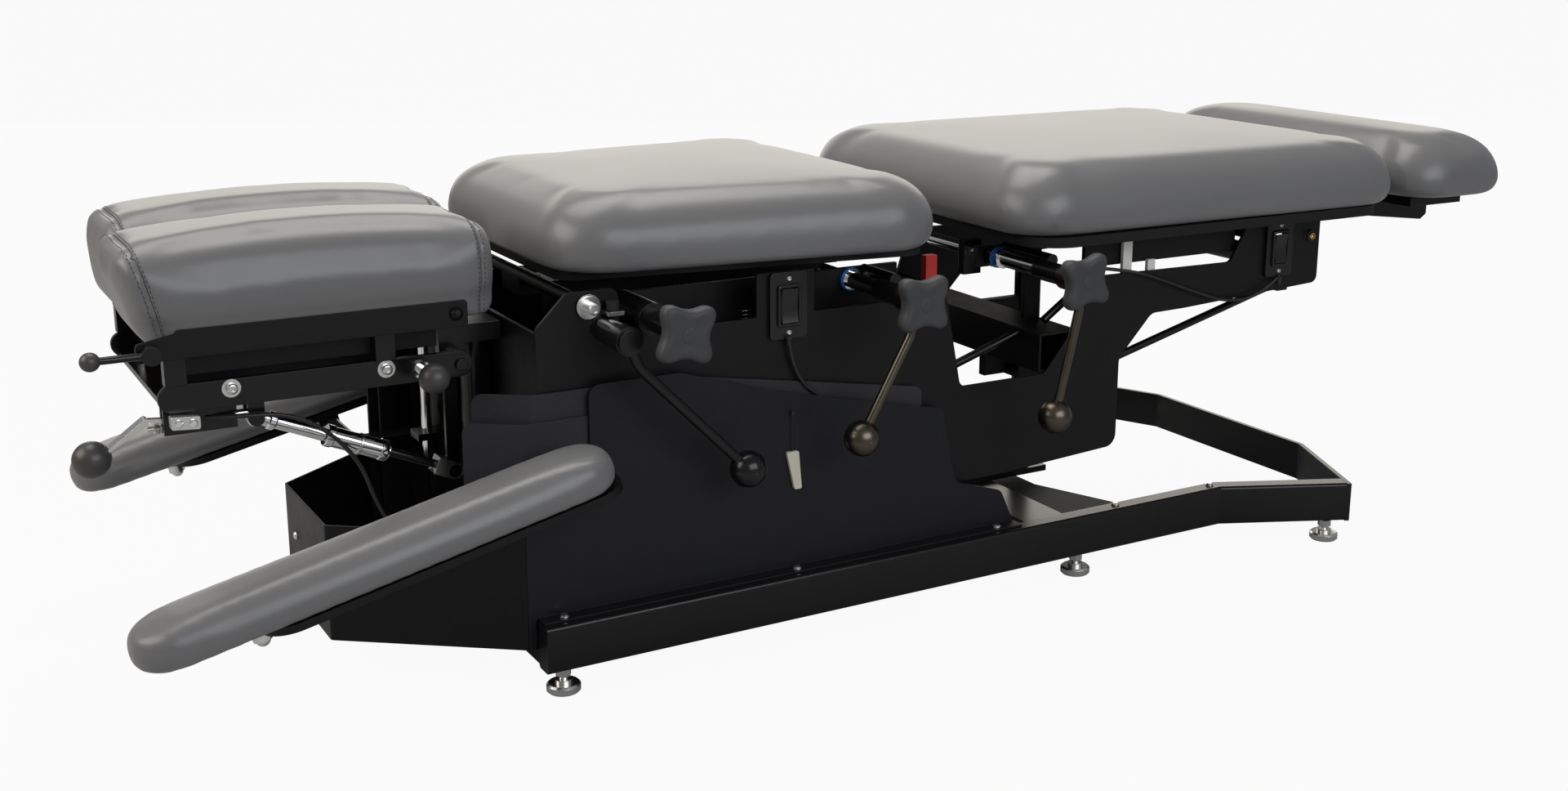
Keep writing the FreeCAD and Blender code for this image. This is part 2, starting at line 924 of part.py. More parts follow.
def hex_nut(x, y, z):
    corners = [(x + nut_radius * math.cos(math.pi * i / 3), y + nut_radius * math.sin(math.pi * i / 3), 0)
               for i in range(6)]
    nut = plan(corners, z, z + nut_height)
    return nut.cut(cyl(x, y, z, UP, stud_radius + run_fit, nut_height))


def side_cover():
    outer_y = -cover_half_width
    points = [(0, rail_top_z, 0), (0, cover_bottom_z, 0), (cover_head_x, cover_bottom_z, 0),
              (cover_head_x, cover_step_z, 0), (cover_step_x, cover_step_z, 0),
              (cover_step_x, cover_top_z, cover_round), (cover_peak_x, cover_top_z, cover_round),
              (cover_knee_x, cover_knee_z, cover_round), (cover_tail_x, cover_tail_z, cover_round),
              (cover_drop_x, cover_drop_z, cover_round), (cover_lip_x, cover_lip_z, cover_round),
              (cover_end_x, rail_top_z, 0)]
    wall = upright(points, outer_y, outer_y + sheet)
    flange = box(flange_thick, cover_end_x, outer_y - flange_reach, outer_y + sheet * half,
                 rail_top_z, rail_top_z + flange_thick)
    for x in flange_screw_xs:
        flange = flange.cut(cyl(x, -flange_screw_y, rail_top_z, UP, screw_radius + slip_gap, flange_thick))
    return join(wall, flange)


def nose_plan(margin):
    diag = V(cover_head_x - nose_x, -(cover_half_width - nose_half_width), 0)
    front = crossing(V(nose_x + margin, 0, 0), V(0, 1, 0),
                     shifted(V(nose_x, -nose_half_width, 0), diag, margin), diag)
    back = crossing(V(cover_head_x - slip_gap, 0, 0), V(0, 1, 0),
                    shifted(V(nose_x, -nose_half_width, 0), diag, margin), diag)
    return front, back


def nose_cover():
    front, back = nose_plan(0)
    front_in, back_in = nose_plan(sheet)
    front_lip, back_lip = nose_plan(nose_lap)
    bend = 5.0

    def ring(a, b, c, d):
        return [(b.x, b.y, 0), (a.x, a.y, bend), (a.x, -a.y, bend), (b.x, -b.y, 0),
                (d.x, -d.y, 0), (c.x, -c.y, bend - sheet), (c.x, c.y, bend - sheet), (d.x, d.y, 0)]
    wall = plan(ring(front, back, front_in, back_in), nose_bottom_z, nose_top_z)
    lip = plan(ring(front, back, front_lip, back_lip), nose_bottom_z, nose_bottom_z + sheet)
    solid = join(wall, lip)
    for side in both_sides:
        solid = solid.cut(cyl(nose_x, side * nose_screw_y, nose_screw_z, ALONG,
                              screw_radius + slip_gap, sheet * 2))
    return solid


def screw(x, y, z, axis):
    head = cyl(x, y, z, axis, screw_head_radius, screw_head_height)
    shank = cyl(x, y, z, axis * -1, screw_radius, screw_length)
    rim = [e for e in head.Edges if abs((e.CenterOfMass - V(x, y, z)).dot(axis)) > screw_head_height * half]
    return join(head.makeChamfer(screw_head_height * half, rim), shank)


def cover_screws():
    parts = []
    for side in both_sides:
        for x in flange_screw_xs:
            parts.append(screw(x, side * flange_screw_y, rail_top_z + flange_thick, UP))
        for x in rail_screw_xs:
            parts.append(screw(x, side * rail_screw_y, rail_top_z, UP))
        parts.append(screw(nose_x, side * nose_screw_y, nose_screw_z, ALONG * -1))
    return group(*parts)


# Outer guide columns with the bearing bore at the top
def lift_columns_outer():
    parts = []
    base_z = member_bottom_z + member_height
    for x in (column_head_x, column_foot_x):
        foot = box(x - member_width * half, x + member_width * half, -column_radius - sheet * 6,
                   column_radius + sheet * 6, base_z, base_z + column_foot_plate)
        shell = tube(x, 0, base_z + column_foot_plate, UP, column_radius, column_radius - column_wall,
                     column_top_z - base_z - column_foot_plate)
        bush = tube(x, 0, column_top_z - bushing_height, UP, column_radius - column_wall * half,
                    inner_radius + run_fit, bushing_height)
        parts.append(join(foot, shell, bush))
    plate = box(member_foot_x - post_clamp_half, post_three_x + post_clamp_half, -post_clamp_half,
                post_clamp_half, base_z, base_z + column_foot_plate)
    rod = cyl(post_three_x, 0, base_z, UP, post_three_radius - post_three_wall - run_fit,
              post_three_rod_top_z - base_z)
    parts.append(join(plate, rod))
    return group(*parts)


def lift_columns_inner():
    parts = []
    for x in (column_head_x, column_foot_x):
        parts.append(tube(x, 0, inner_bottom_z, UP, inner_radius, inner_radius - inner_wall,
                          inner_top_z - inner_bottom_z))
    return group(*parts)


def actuator_body():
    base_z = member_bottom_z + member_height
    gear_height = 24.0
    gear_reach = 94.0
    motor_y = 62.0
    gland = 20.0
    x = actuator_x
    gear = box(x - actuator_motor_radius, x + actuator_motor_radius, -actuator_motor_radius, gear_reach,
               base_z, base_z + gear_height)
    body = cyl(x, 0, base_z + gear_height * half, UP, actuator_radius,
               actuator_top_z - base_z - gear_height * half)
    motor = cyl(x, motor_y, base_z + gear_height * half, UP, actuator_motor_radius, actuator_motor_length)
    solid = join(gear, body, motor)
    bore_z = actuator_rod_bottom_z - sheet
    solid = solid.cut(cyl(x, 0, bore_z, UP, actuator_bore, actuator_top_z - gland - bore_z))
    return solid.cut(cyl(x, 0, bore_z, UP, actuator_rod_radius + run_fit, actuator_top_z - bore_z))


def actuator_rod():
    return cyl(actuator_x, 0, actuator_rod_bottom_z, UP, actuator_rod_radius,
               actuator_rod_top_z - actuator_rod_bottom_z)


# One telescoping skirt panel pair, with the folded return at the head end
def skirt_pair(half_width, head_x, top_z, outer_half):
    tail_top = top_z - (skirt_foot_x - cover_peak_x) * skirt_slope_share
    points = [(head_x, skirt_bottom_z, 0), (head_x, top_z, 0), (cover_peak_x, top_z, skirt_round),
              (skirt_foot_x, tail_top, skirt_round), (skirt_foot_x, skirt_bottom_z, 0)]
    wall = upright(points, -half_width, -half_width + sheet)
    diag = V(nose_x - cover_head_x, cover_half_width - nose_half_width, 0).normalize()
    corner = V(head_x, -half_width, 0)
    tip = corner + diag * skirt_return
    inner_corner = crossing(V(0, -half_width + sheet, 0), V(1, 0, 0), shifted(corner, diag, -sheet), diag)
    inner_tip = shifted(tip, diag, -sheet)
    fold = plan([(corner.x, corner.y, 0), (tip.x, tip.y, 0), (inner_tip.x, inner_tip.y, 0),
                 (inner_corner.x, inner_corner.y, 0)], skirt_bottom_z, top_z)
    rim = [e for e in fold.Edges if e.Length < sheet * 1.5 and e.CenterOfMass.z > top_z - sheet
           and (e.CenterOfMass - tip).Length < (e.CenterOfMass - corner).Length + top_z
           and abs(e.CenterOfMass.x - tip.x) < sheet * 2]
    fold = fold.makeFillet(skirt_round, rim)
    near = join(wall, fold)
    # Runners that keep the sheet off the next one out
    for x in runner_xs:
        near = join(near, box(x, x + runner_width, -outer_half + sheet + slip_gap, -half_width,
                              skirt_bottom_z, skirt_bottom_z + runner_height))
    return group(near, mirror(near))


def chassis_plate():
    r = plate_round
    s = notch_round
    points = [(plate_head_x, plate_bottom_z, 0), (plate_head_x, plate_chamfer_z, s),
              (plate_ear_x, plate_ear_z, s), (plate_ear_end_x, plate_ear_z, s),
              (plate_ear_end_x + sheet, plate_rail_z, 0),
              (plate_tab_head_x, plate_rail_z, 0), (plate_tab_head_x, plate_tab_z, sheet),
              (plate_tab_foot_x, plate_tab_z, sheet), (plate_tab_foot_x, plate_rail_z, 0),
              (notch_head_x, plate_rail_z, s), (notch_head_low_x, notch_bottom_z, s),
              (notch_foot_low_x, notch_bottom_z, s), (notch_foot_mid_x, notch_mid_z, s),
              (notch_foot_x, plate_rail_z, s),
              (plate_rise_x, plate_low_z, s), (plate_rise_foot_x, plate_end_top_z, s),
              (plate_end_x, plate_end_top_z, 0), (plate_end_x, plate_end_bottom_z, s),
              (plate_arm_x, plate_arm_z, 0), (plate_knee_x, plate_knee_z, r),
              (plate_leg_x, plate_leg_z, r), (plate_leg_x, plate_leg_bottom_z, r),
              (cover_lip_x, plate_bottom_z, 0)]
    solid = upright(points, -plate_half_width, -plate_half_width + plate_thick)
    return solid.cut(cyl(pivot_x, -plate_half_width, pivot_z, ACROSS, pivot_radius + run_fit, plate_thick))


def plate_cutouts(plate):
    for x, z in ((bezel_one_x, bezel_one_z), (bezel_two_x, bezel_two_z)):
        w = rocker_width * half + move_gap
        h = rocker_height * half + move_gap
        plate = plate.cut(box(x - w, x + w, -plate_half_width, -plate_half_width + plate_thick, z - h, z + h))
    plate = plate.cut(cyl(lever_one_x, -plate_half_width, lever_one_z, ACROSS, shaft_radius + run_fit, plate_thick))
    return plate.cut(cyl(jack_x, -plate_half_width, jack_z, ACROSS, jack_radius * half, plate_thick))


def chassis_cross_members():
    inner_y = plate_half_width - plate_thick
    parts = []
    # Front plate behind the skirts
    parts.append(box(plate_head_x, plate_head_x + front_plate_thick, -inner_y, inner_y,
                     front_plate_bottom_z, front_plate_top_z))
    # Large beam under the pelvic section
    x0 = beam_x - beam_width * half
    x_foot = beam_x + beam_width * half
    beam = box(x0, x_foot, -inner_y, inner_y, beam_top_z - beam_height, beam_top_z)
    parts.append(beam.cut(box(x0 + beam_wall, x_foot - beam_wall, -inner_y, inner_y,
                              beam_top_z - beam_height + beam_wall, beam_top_z - beam_wall)))
    # Round tie tubes
    for x, z in ((tie_head_x, tie_head_z), (tie_foot_x, tie_foot_z)):
        parts.append(tube(x, -inner_y, z, ACROSS, tie_tube_radius, tie_tube_radius - tie_tube_wall,
                          inner_y * 2))
    # Flat bars that rest on the columns and the actuator
    for x in bar_head_xs:
        parts.append(box(x - bar_width * half, x + bar_width * half, -inner_y, inner_y,
                         inner_top_z, inner_top_z + bar_height))
    # Upright rail and stand that carry the drop shafts
    rail_top = shaft_rail_top_z
    rail = box(shaft_rail_head_x, shaft_rail_foot_x, -shaft_rail_y - shaft_rail_thick, -shaft_rail_y,
               inner_top_z + bar_height, rail_top)
    for x, z in ((shaft_one_x, shaft_one_z), (shaft_two_x, shaft_two_z)):
        rail = rail.cut(cyl(x, -shaft_rail_y - shaft_rail_thick, z, ACROSS, shaft_radius + run_fit,
                            shaft_rail_thick))
    parts.append(rail)
    head_x = shaft_three_x - stand_arm
    arm_z = rail_top - stand_arm_height
    leg_x = x_foot - stand_width
    stand = upright([(leg_x, beam_top_z, 0), (x_foot, beam_top_z, 0), (x_foot, rail_top, sheet),
                     (head_x, rail_top, sheet), (head_x, arm_z, sheet), (leg_x, arm_z, sheet * 2)],
                    -stand_y - stand_thick, -stand_y)
    parts.append(stand.cut(cyl(shaft_three_x, -stand_y - stand_thick, shaft_three_z, ACROSS,
                               shaft_radius + run_fit, stand_thick)))
    # Clamp and gusset that hold the tube of the third guide on the beam
    clamp = box(post_three_x - post_clamp_half, post_three_x + post_clamp_half, -post_clamp_half,
                post_clamp_half, post_clamp_bottom_z, beam_top_z - beam_height)
    gusset = box(x_foot, post_three_x, -post_gusset_thick * half, post_gusset_thick * half,
                 post_clamp_bottom_z + sheet * 2, beam_top_z)
    clamp = join(clamp, gusset)
    parts.append(clamp.cut(cyl(post_three_x, 0, post_three_bottom_z, UP, post_three_radius,
                               post_three_top_z - post_three_bottom_z)))
    # Channels that guide the foot section, each hung from the plate by a shelf
    for side in both_sides:
        wall = slide_channel_wall
        a = slide_y - slide_width * half - slip_gap
        b = slide_y + slide_width * half + slip_gap
        x0 = slide_channel_head_x
        x1 = slide_channel_foot_x - spacer_width
        low = slide_bottom_z - slip_gap
        high = low + slide_height + slip_gap * 2
        shelf = box(x0, x1, a - wall, b + wall, low - wall, low)
        tab = box(x0, x0 + channel_tab, b, inner_y, low - wall, low)
        left = box(x0, x1, a - wall, a, low, high)
        right = box(x0, x1, b, b + wall, low, high)
        lips = [box(x0, x1, a - wall, a + wall, high, high + sheet),
                box(x0, x1, b - wall, b + wall, high, high + sheet)]
        channel = join(shelf, tab, left, right, *lips)
        parts.append(channel if side > 0 else mirror(channel))
    # Ears that hold the pelvic hinge pin, standing on the foot tie tube
    for side in both_sides:
        y = side * (pelvic_rail_y + pelvic_rail_width)
        ear = box(pelvic_pin_x - lug_radius, tie_foot_x, y - lug_thick * half, y + lug_thick * half,
                  tie_foot_z, pelvic_pin_z)
        ear = join(ear, cyl(pelvic_pin_x, y - lug_thick * half, pelvic_pin_z, ACROSS, lug_radius, lug_thick))
        ear = ear.cut(cyl(tie_foot_x, -inner_y, tie_foot_z, ACROSS, tie_tube_radius, inner_y * 2))
        ear = ear.cut(cyl(pelvic_pin_x, -inner_y, pelvic_pin_z, ACROSS, pin_radius, inner_y * 2))
        parts.append(ear)
    reach = pelvic_rail_y + pelvic_rail_width + lug_thick
    parts.append(cyl(pelvic_pin_x, -reach, pelvic_pin_z, ACROSS, pin_radius, reach * 2))
    return group(*parts)


def pivot_bolts():
    bolt = cyl(pivot_x, -pivot_reach, pivot_z, ACROSS, pivot_radius, pivot_reach * 2)
    parts = [bolt]
    for side in both_sides:
        y0 = side * plate_half_width
        low = min(y0, y0 + side * pivot_collar)
        parts.append(tube(pivot_x, low, pivot_z, ACROSS, pivot_collar_radius + sheet, pivot_radius, pivot_collar * half))
        low = low + pivot_collar * half if side > 0 else low - pivot_collar * half
        parts.append(tube(pivot_x, low, pivot_z, ACROSS, pivot_collar_radius, pivot_radius, pivot_collar * half))
    return parts


def washer_stack():
    stack_x = 292.0
    stack_y = plate_half_width - stack_inset
    radius = 11.0
    layer = 4.0
    post_radius = 4.0
    bottom = inner_top_z + bar_height
    parts = [cyl(stack_x, -stack_y, bottom, UP, post_radius, layer * 11)]
    for i in range(5):
        z = bottom + layer * (2 * i)
        parts.append(tube(stack_x, -stack_y, z, UP, radius - (i % 2) * sheet, post_radius, layer))
        parts.append(tube(stack_x, -stack_y, z + layer, UP, radius - sheet * 1.5, post_radius, layer))
    return parts


def bumpers():
    parts = []
    top = pivot_z + bumper_height * half
    for side in both_sides:
        arm = box(bumper_x - bumper_radius, bumper_x + bumper_radius, plate_half_width,
                  plate_half_width + bumper_radius * 2, top - bumper_height - sheet * 2, top - bumper_height)
        pad = cyl(bumper_x, -plate_half_width - bumper_radius, top - bumper_height, UP,
                  bumper_radius - sheet, bumper_height)
        parts.append(arm if side > 0 else mirror(arm))
        parts.append(mirror(pad) if side > 0 else pad)
    return parts


# Red stop block, white strip and pale block that stand on or beside the near plate
def stop_blocks():
    near = -plate_half_width
    parts = []
    tall = ((block_red_x, block_red_width, block_depth, block_red_top_z),
            (strip_white_x, strip_white_width, plate_thick + strip_white_depth, strip_white_top_z))
    for x, width, depth, top in tall:
        parts.append(box(x, x + width, near + plate_thick, near + depth, top - block_leg, top))
    parts.append(box(block_pale_x, block_pale_x + block_pale_width, near + plate_thick,
                     near + plate_thick + strip_white_depth, block_pale_low_z, block_pale_top_z))
    return group(*parts)


def brace(ends):
    start = V(ends[0], -brace_y, ends[1])
    run = V(ends[2], -brace_y, ends[3]) - start
    return Part.makeCylinder(brace_radius, run.Length, start, run)


# Diagonal rods seen through the notch, each with a foot on the plate, the beam or the tie tube
def tie_rods():
    inner_y = -plate_half_width + plate_thick
    parts = []
    x0 = beam_x - beam_width * half
    one = join(brace(brace_one), foot_block(brace_one[0], brace_one[1], inner_y))
    beam = box(x0, x0 + beam_width, inner_y, 0, beam_top_z - beam_height, beam_top_z)
    parts.append(one.cut(beam))
    two = join(brace(brace_two), foot_block(brace_two[2], brace_two[3], inner_y))
    parts.append(two.cut(beam))
    three = join(brace(brace_three), foot_block(brace_three[0], brace_three[1], inner_y),
                 box(tie_foot_x - brace_foot, tie_foot_x + brace_foot, -brace_y - brace_foot,
                     -brace_y + brace_foot, brace_three[3] - brace_foot, tie_foot_z))
    tie = cyl(tie_foot_x, inner_y, tie_foot_z, ACROSS, tie_tube_radius, -inner_y)
    parts.append(three.cut(tie))
    return group(*parts)


def foot_block(x, z, inner_y):
    return box(x - brace_foot, x + brace_foot, inner_y, -brace_y + brace_foot, z - brace_foot, z + brace_foot)


# White wedge that hangs from the side cover on a thin string
def hanging_wedge():
    low = wedge_top_z - wedge_height
    wide = wedge_width * half
    narrow = wide * wedge_low_share
    body = upright([(wedge_x - wide, wedge_top_z, sheet), (wedge_x + wide, wedge_top_z, sheet),
                    (wedge_x + wedge_lean + narrow, low, sheet), (wedge_x + wedge_lean - narrow, low, sheet)],
                   -wedge_y - wedge_depth * half, -wedge_y + wedge_depth * half)
    string = cyl(wedge_x, -wedge_y, wedge_top_z - sheet, UP, string_radius, string_top_z - wedge_top_z)
    hook_y = -cover_half_width
    hook = cyl(wedge_x, -wedge_y - sheet, string_top_z - sheet * 2, ACROSS, sheet, hook_y + wedge_y + sheet)
    return join(body, string, hook)


def head_column_tubes():
    parts = []
    for side in both_sides:
        shell = tube(post_x, side * post_y, post_bottom_z, UP, post_radius, head_rod_radius + run_fit,
                     post_top_z - post_bottom_z)
        lug = box(post_x, plate_head_x, side * post_y - lug_radius, side * post_y + lug_radius,
                  weld_bottom_z, weld_bottom_z + weld_height)
        lug = lug.cut(cyl(post_x, side * post_y, weld_bottom_z, UP, head_rod_radius + run_fit, weld_height))
        parts.append(join(shell, lug))
    guide = box(chrome_rod_x - guide_half_width * half * 2, plate_head_x, -guide_half_width, guide_half_width,
                guide_bottom_z, guide_bottom_z + guide_height)
    parts.append(guide.cut(cyl(chrome_rod_x, 0, guide_bottom_z, UP, chrome_rod_radius + run_fit, guide_height)))
    return group(*parts)


# Stub tubes on bracket arms under the head section, one for each armrest
def armrest_cross_tube():
    reach = arm_lug_inner_y - arm_tube_end_gap
    root = bracket_arm_y - bracket_arm_thick * half
    plug_length = cap_nut_height * 2
    parts = []
    for side in both_sides:
        stub = tube(arm_tube_x, min(side * root, side * reach), arm_tube_z, ACROSS, arm_tube_radius,
                    arm_tube_radius - arm_tube_wall, reach - root)
        arm_low = min(side * root, side * (root + bracket_arm_thick))
        arm = box(arm_tube_x, plate_head_x, arm_low, arm_low + bracket_arm_thick, bracket_arm_bottom_z,
                  bracket_arm_bottom_z + bracket_arm_height)
        start = side * (reach - plug_length)
        pin = cyl(arm_tube_x, min(start, side * arm_pin_reach), arm_tube_z, ACROSS, arm_pin_radius,
                  arm_pin_reach - reach + plug_length)
        plug = cyl(arm_tube_x, min(start, side * reach), arm_tube_z, ACROSS, arm_tube_radius - thin_gap, plug_length)
        parts.append(join(stub, arm, pin, plug))
    return group(*parts)


# One switch plate with a rounded outline, cut out for its rocker
def switch_bezels():
    parts = []
    for x, z, way in ((bezel_one_x, bezel_one_z, cable_one_path()), (bezel_two_x, bezel_two_z, cable_two_path())):
        w = bezel_width * half
        h = bezel_height * half
        corner = bezel_thick
        face = -plate_half_width
        bezel = upright([(x - w, z - h, corner), (x + w, z - h, corner), (x + w, z + h, corner),
                         (x - w, z + h, corner)], face - bezel_thick, face)
        w = rocker_width * half + thin_gap
        h = rocker_height * half + thin_gap
        bezel = bezel.cut(box(x - w, x + w, face - bezel_thick, face, z - h, z + h))
        pin = cyl(x - w - thin_gap, face - bezel_thick * half, z, ALONG, rocker_pin_radius, (w + thin_gap) * 2)
        bezel = join(bezel, pin)
        parts.append(bezel.cut(cable(way, cable_radius + slip_gap)))
    return group(*parts)


def rocker(x, z):
    w = rocker_width * half
    h = rocker_height * half
    face = -plate_half_width - bezel_thick
    back = -plate_half_width + plate_thick
    bow = rocker_thick * half
    wire = Part.Wire([
        Part.Arc(V(x - w, face - bow, z - h), V(x - w, face - sheet, z), V(x - w, face - bow, z + h)).toShape(),
        Part.LineSegment(V(x - w, face - bow, z + h), V(x - w, back, z + h - bow)).toShape(),
        Part.LineSegment(V(x - w, back, z + h - bow), V(x - w, back, z - h + bow)).toShape(),
        Part.LineSegment(V(x - w, back, z - h + bow), V(x - w, face - bow, z - h)).toShape()])
    body = Part.Face(wire).extrude(V(w * 2, 0, 0))
    return body.cut(cyl(x - w, -plate_half_width - bezel_thick * half, z, ALONG,
                        rocker_pin_radius + run_fit, w * 2))


def jack_socket():
    face = -plate_half_width
    rim = cyl(jack_x, face - sheet, jack_z, ACROSS, jack_radius, sheet)
    barrel = cyl(jack_x, face, jack_z, ACROSS, jack_radius * half, plate_thick + bezel_thick)
    hole = cyl(jack_x, face - sheet, jack_z, ACROSS, jack_radius * half - thin_gap, bezel_thick)
    return join(rim, barrel).cut(hole)


def cable(places, radius):
    return bent_rod(places, radius, bend_reach_share, cable_bend_limit)


# Ways of the two switch cables and of the release cable, drawn from shares of their reach
def cable_way(shares, ys, head_x, foot_x, top_z, low_z):
    return [V(head_x + (foot_x - head_x) * a, -y, top_z - (top_z - low_z) * b)
            for (a, b), y in zip(shares, ys)]


def cable_one_path():
    return cable_way(cable_one_shares, [cable_y] * len(cable_one_shares), cable_one_head_x,
                     cable_one_foot_x, cable_one_top_z, cable_one_low_z)


def cable_two_path():
    ys = [cable_two_root_y] + [cable_y] * (len(cable_two_shares) - 1)
    return cable_way(cable_two_shares, ys, cable_two_head_x, cable_two_foot_x, cable_two_top_z, cable_two_low_z)


def release_cable_path():
    ys = [strut_y + step for step in release_cable_steps]
    return cable_way(release_cable_shares, ys, release_cable_head_x, release_cable_foot_x,
                     release_cable_top_z, release_cable_low_z)


def control_cables():
    return group(cable(cable_one_path(), cable_radius), cable(cable_two_path(), cable_radius))


# Head section
def head_yoke():
    x0 = chrome_rod_x - lug_thick
    bar_top = yoke_bar_bottom_z + yoke_bar_height
    parts = [box(x0, plate_head_x - sheet, -lug_outer_y, lug_outer_y, yoke_bar_bottom_z, bar_top)]
    for side in both_sides:
        low = min(side * lug_inner_y, side * lug_outer_y)
        parts.append(box(lug_head_x, lug_foot_x, low, low + lug_outer_y - lug_inner_y, lug_low_z, bar_top))
        start = side * lug_inner_y
        end = side * (frame_half_width + sheet * 2)
        parts.append(cyl(tilt_x, min(start, end), tilt_z, ACROSS, tilt_pin_radius, abs(end - start)))
        collar = side * (frame_half_width - frame_bar_thick - slip_gap)
        low = min(side * lug_outer_y, collar)
        parts.append(cyl(tilt_x, low, tilt_z, ACROSS, tilt_pin_radius + sheet * 2, abs(collar) - lug_outer_y))
    # Arm that hangs down to the lower strut pin
    wide = carriage_arm_width * half
    thick = carriage_arm_thick * half
    parts.append(box(carriage_arm_x - wide, carriage_arm_x + wide, -strut_y - thick, -strut_y + thick,
                     carriage_arm_low_z, yoke_bar_bottom_z))
    parts.append(cyl(strut_low_x, -strut_y - wide - sheet, strut_low_z, ACROSS, strut_pin_radius,
                     wide * 2 + sheet * 2))
    return join(parts[0], *parts[1:])


def head_posts():
    parts = []
    for side in both_sides:
        parts.append(cyl(post_x, side * post_y, post_bottom_z + post_standoff, UP, head_rod_radius,
                         yoke_bar_bottom_z - post_bottom_z - post_standoff))
    parts.append(cyl(chrome_rod_x, 0, chrome_rod_bottom_z, UP, chrome_rod_radius,
                     yoke_bar_bottom_z - chrome_rod_bottom_z))
    return group(*parts)


def tilt_frame():
    parts = []
    bar_low = frame_top_z - frame_bar_height
    middle_z = frame_top_z - frame_bar_height * half
    for side in both_sides:
        low = min(side * frame_half_width, side * (frame_half_width - frame_bar_thick))
        r = frame_bar_height * half - thin_gap
        bar = upright([(frame_head_x, bar_low, r), (frame_foot_x, bar_low, r),
                       (frame_foot_x, frame_top_z, r), (frame_head_x, frame_top_z, r)],
                      low, low + frame_bar_thick)
        bar = bar.cut(cyl(tilt_x, low, tilt_z, ACROSS, tilt_pin_radius + run_fit, frame_bar_thick))
        if side < 0:
            bar = bar.cut(cyl(lock_x, low, lock_z, ACROSS, lock_stem_radius + run_fit, frame_bar_thick))
        parts.append(bar)
    inner = frame_half_width - frame_bar_thick
    for x in (cross_one_x, cross_two_x):
        parts.append(box(x, x + frame_cross_width, -inner, inner, bar_low, bar_low + frame_bar_thick))
    # Lugs that hold the upper strut pin
    w = strut_lug_half
    outer = strut_eye_thick * half + slip_gap + strut_lug_thick
    parts.append(box(strut_top_x - w, strut_top_x + w, -inner, -strut_y + outer, bar_low,
                     bar_low + frame_bar_thick))
    for low in (-strut_y - outer, -strut_y + outer - strut_lug_thick):
        lug = box(strut_top_x - w, strut_top_x + w, low, low + strut_lug_thick, strut_top_z, bar_low)
        parts.append(lug)
        parts.append(cyl(strut_top_x, low, strut_top_z, ACROSS, w, strut_lug_thick))
    parts.append(cyl(strut_top_x, -strut_y - outer, strut_top_z, ACROSS, strut_pin_radius, outer * 2))
    # Spacers that carry the cushion bracket
    for side in both_sides:
        for x in (cross_one_x, cross_two_x):
            low = min(side * (frame_half_width - spacer_thick * half - frame_bar_thick * half),
                      side * (frame_half_width + spacer_thick * half - frame_bar_thick * half))
            parts.append(box(x, x + spacer_width, low, low + spacer_thick, frame_top_z, bracket_bottom_z))
    return join(parts[0], *parts[1:])


def cushion_bracket():
    floor_x0 = cross_one_x
    plate = box(floor_x0, cross_two_x + spacer_width, -frame_half_width - bolt_head_radius,
                frame_half_width + bolt_head_radius, bracket_bottom_z, bracket_floor_z)
    parts = [plate]
    outer = bolster_foot_half + bracket_thick + slip_gap
    for side in both_sides:
        low = min(side * outer, side * (outer - bracket_thick))
        shelf_low = min(side * outer, side * (frame_half_width - spacer_width))
        shelf = box(bracket_head_x, bracket_foot_x, shelf_low, shelf_low + outer - frame_half_width + spacer_width,
                    bracket_floor_z, bracket_floor_z + bracket_thick)
        parts.append(shelf)
        wall = upright([(bracket_head_x, bracket_floor_z, 0), (bracket_foot_x, bracket_floor_z, 0),
                        (bracket_foot_x, bracket_top_z, sheet * 2), (bracket_head_x, bracket_top_z, sheet * 2)],
                       low, low + bracket_thick)
        parts.append(wall)
        lip = min(side * lip_y, side * (lip_y + lip_thick))
        parts.append(box(lip_head_x, lip_foot_x, lip, lip + lip_thick, lip_low_z, bracket_floor_z))
    ear_low = -outer
    ear = upright([(clamp_ear_head_x, clamp_z - clamp_ball_radius, sheet * 2),
                   (bracket_head_x + spacer_width, bracket_floor_z, 0),
                   (bracket_head_x + spacer_width, bracket_top_z, 0),
                   (clamp_ear_head_x, clamp_z + clamp_ball_radius, sheet * 2)],
                  ear_low, ear_low + bracket_thick)
    parts.append(ear)
    whole = join(parts[0], *parts[1:])
    return whole.cut(cyl(clamp_x, ear_low, clamp_z, ACROSS, tilt_pin_radius + run_fit, bracket_thick))


def bolster_profile(side, rise):
    g = bolster_gap_half
    w = bolster_half
    f = bolster_foot_half
    top = bolster_top_z + rise
    points = [(g, bolster_bottom_z, sheet), (f, bolster_bottom_z, sheet),
              (f, bracket_top_z + sheet, sheet), (w, bracket_top_z + spine_wall * 4, sheet * 3),
              (w, top, bolster_round), (g, top, bolster_round * bolster_inner_share)]
    return [(side * a, b, r) for a, b, r in points]


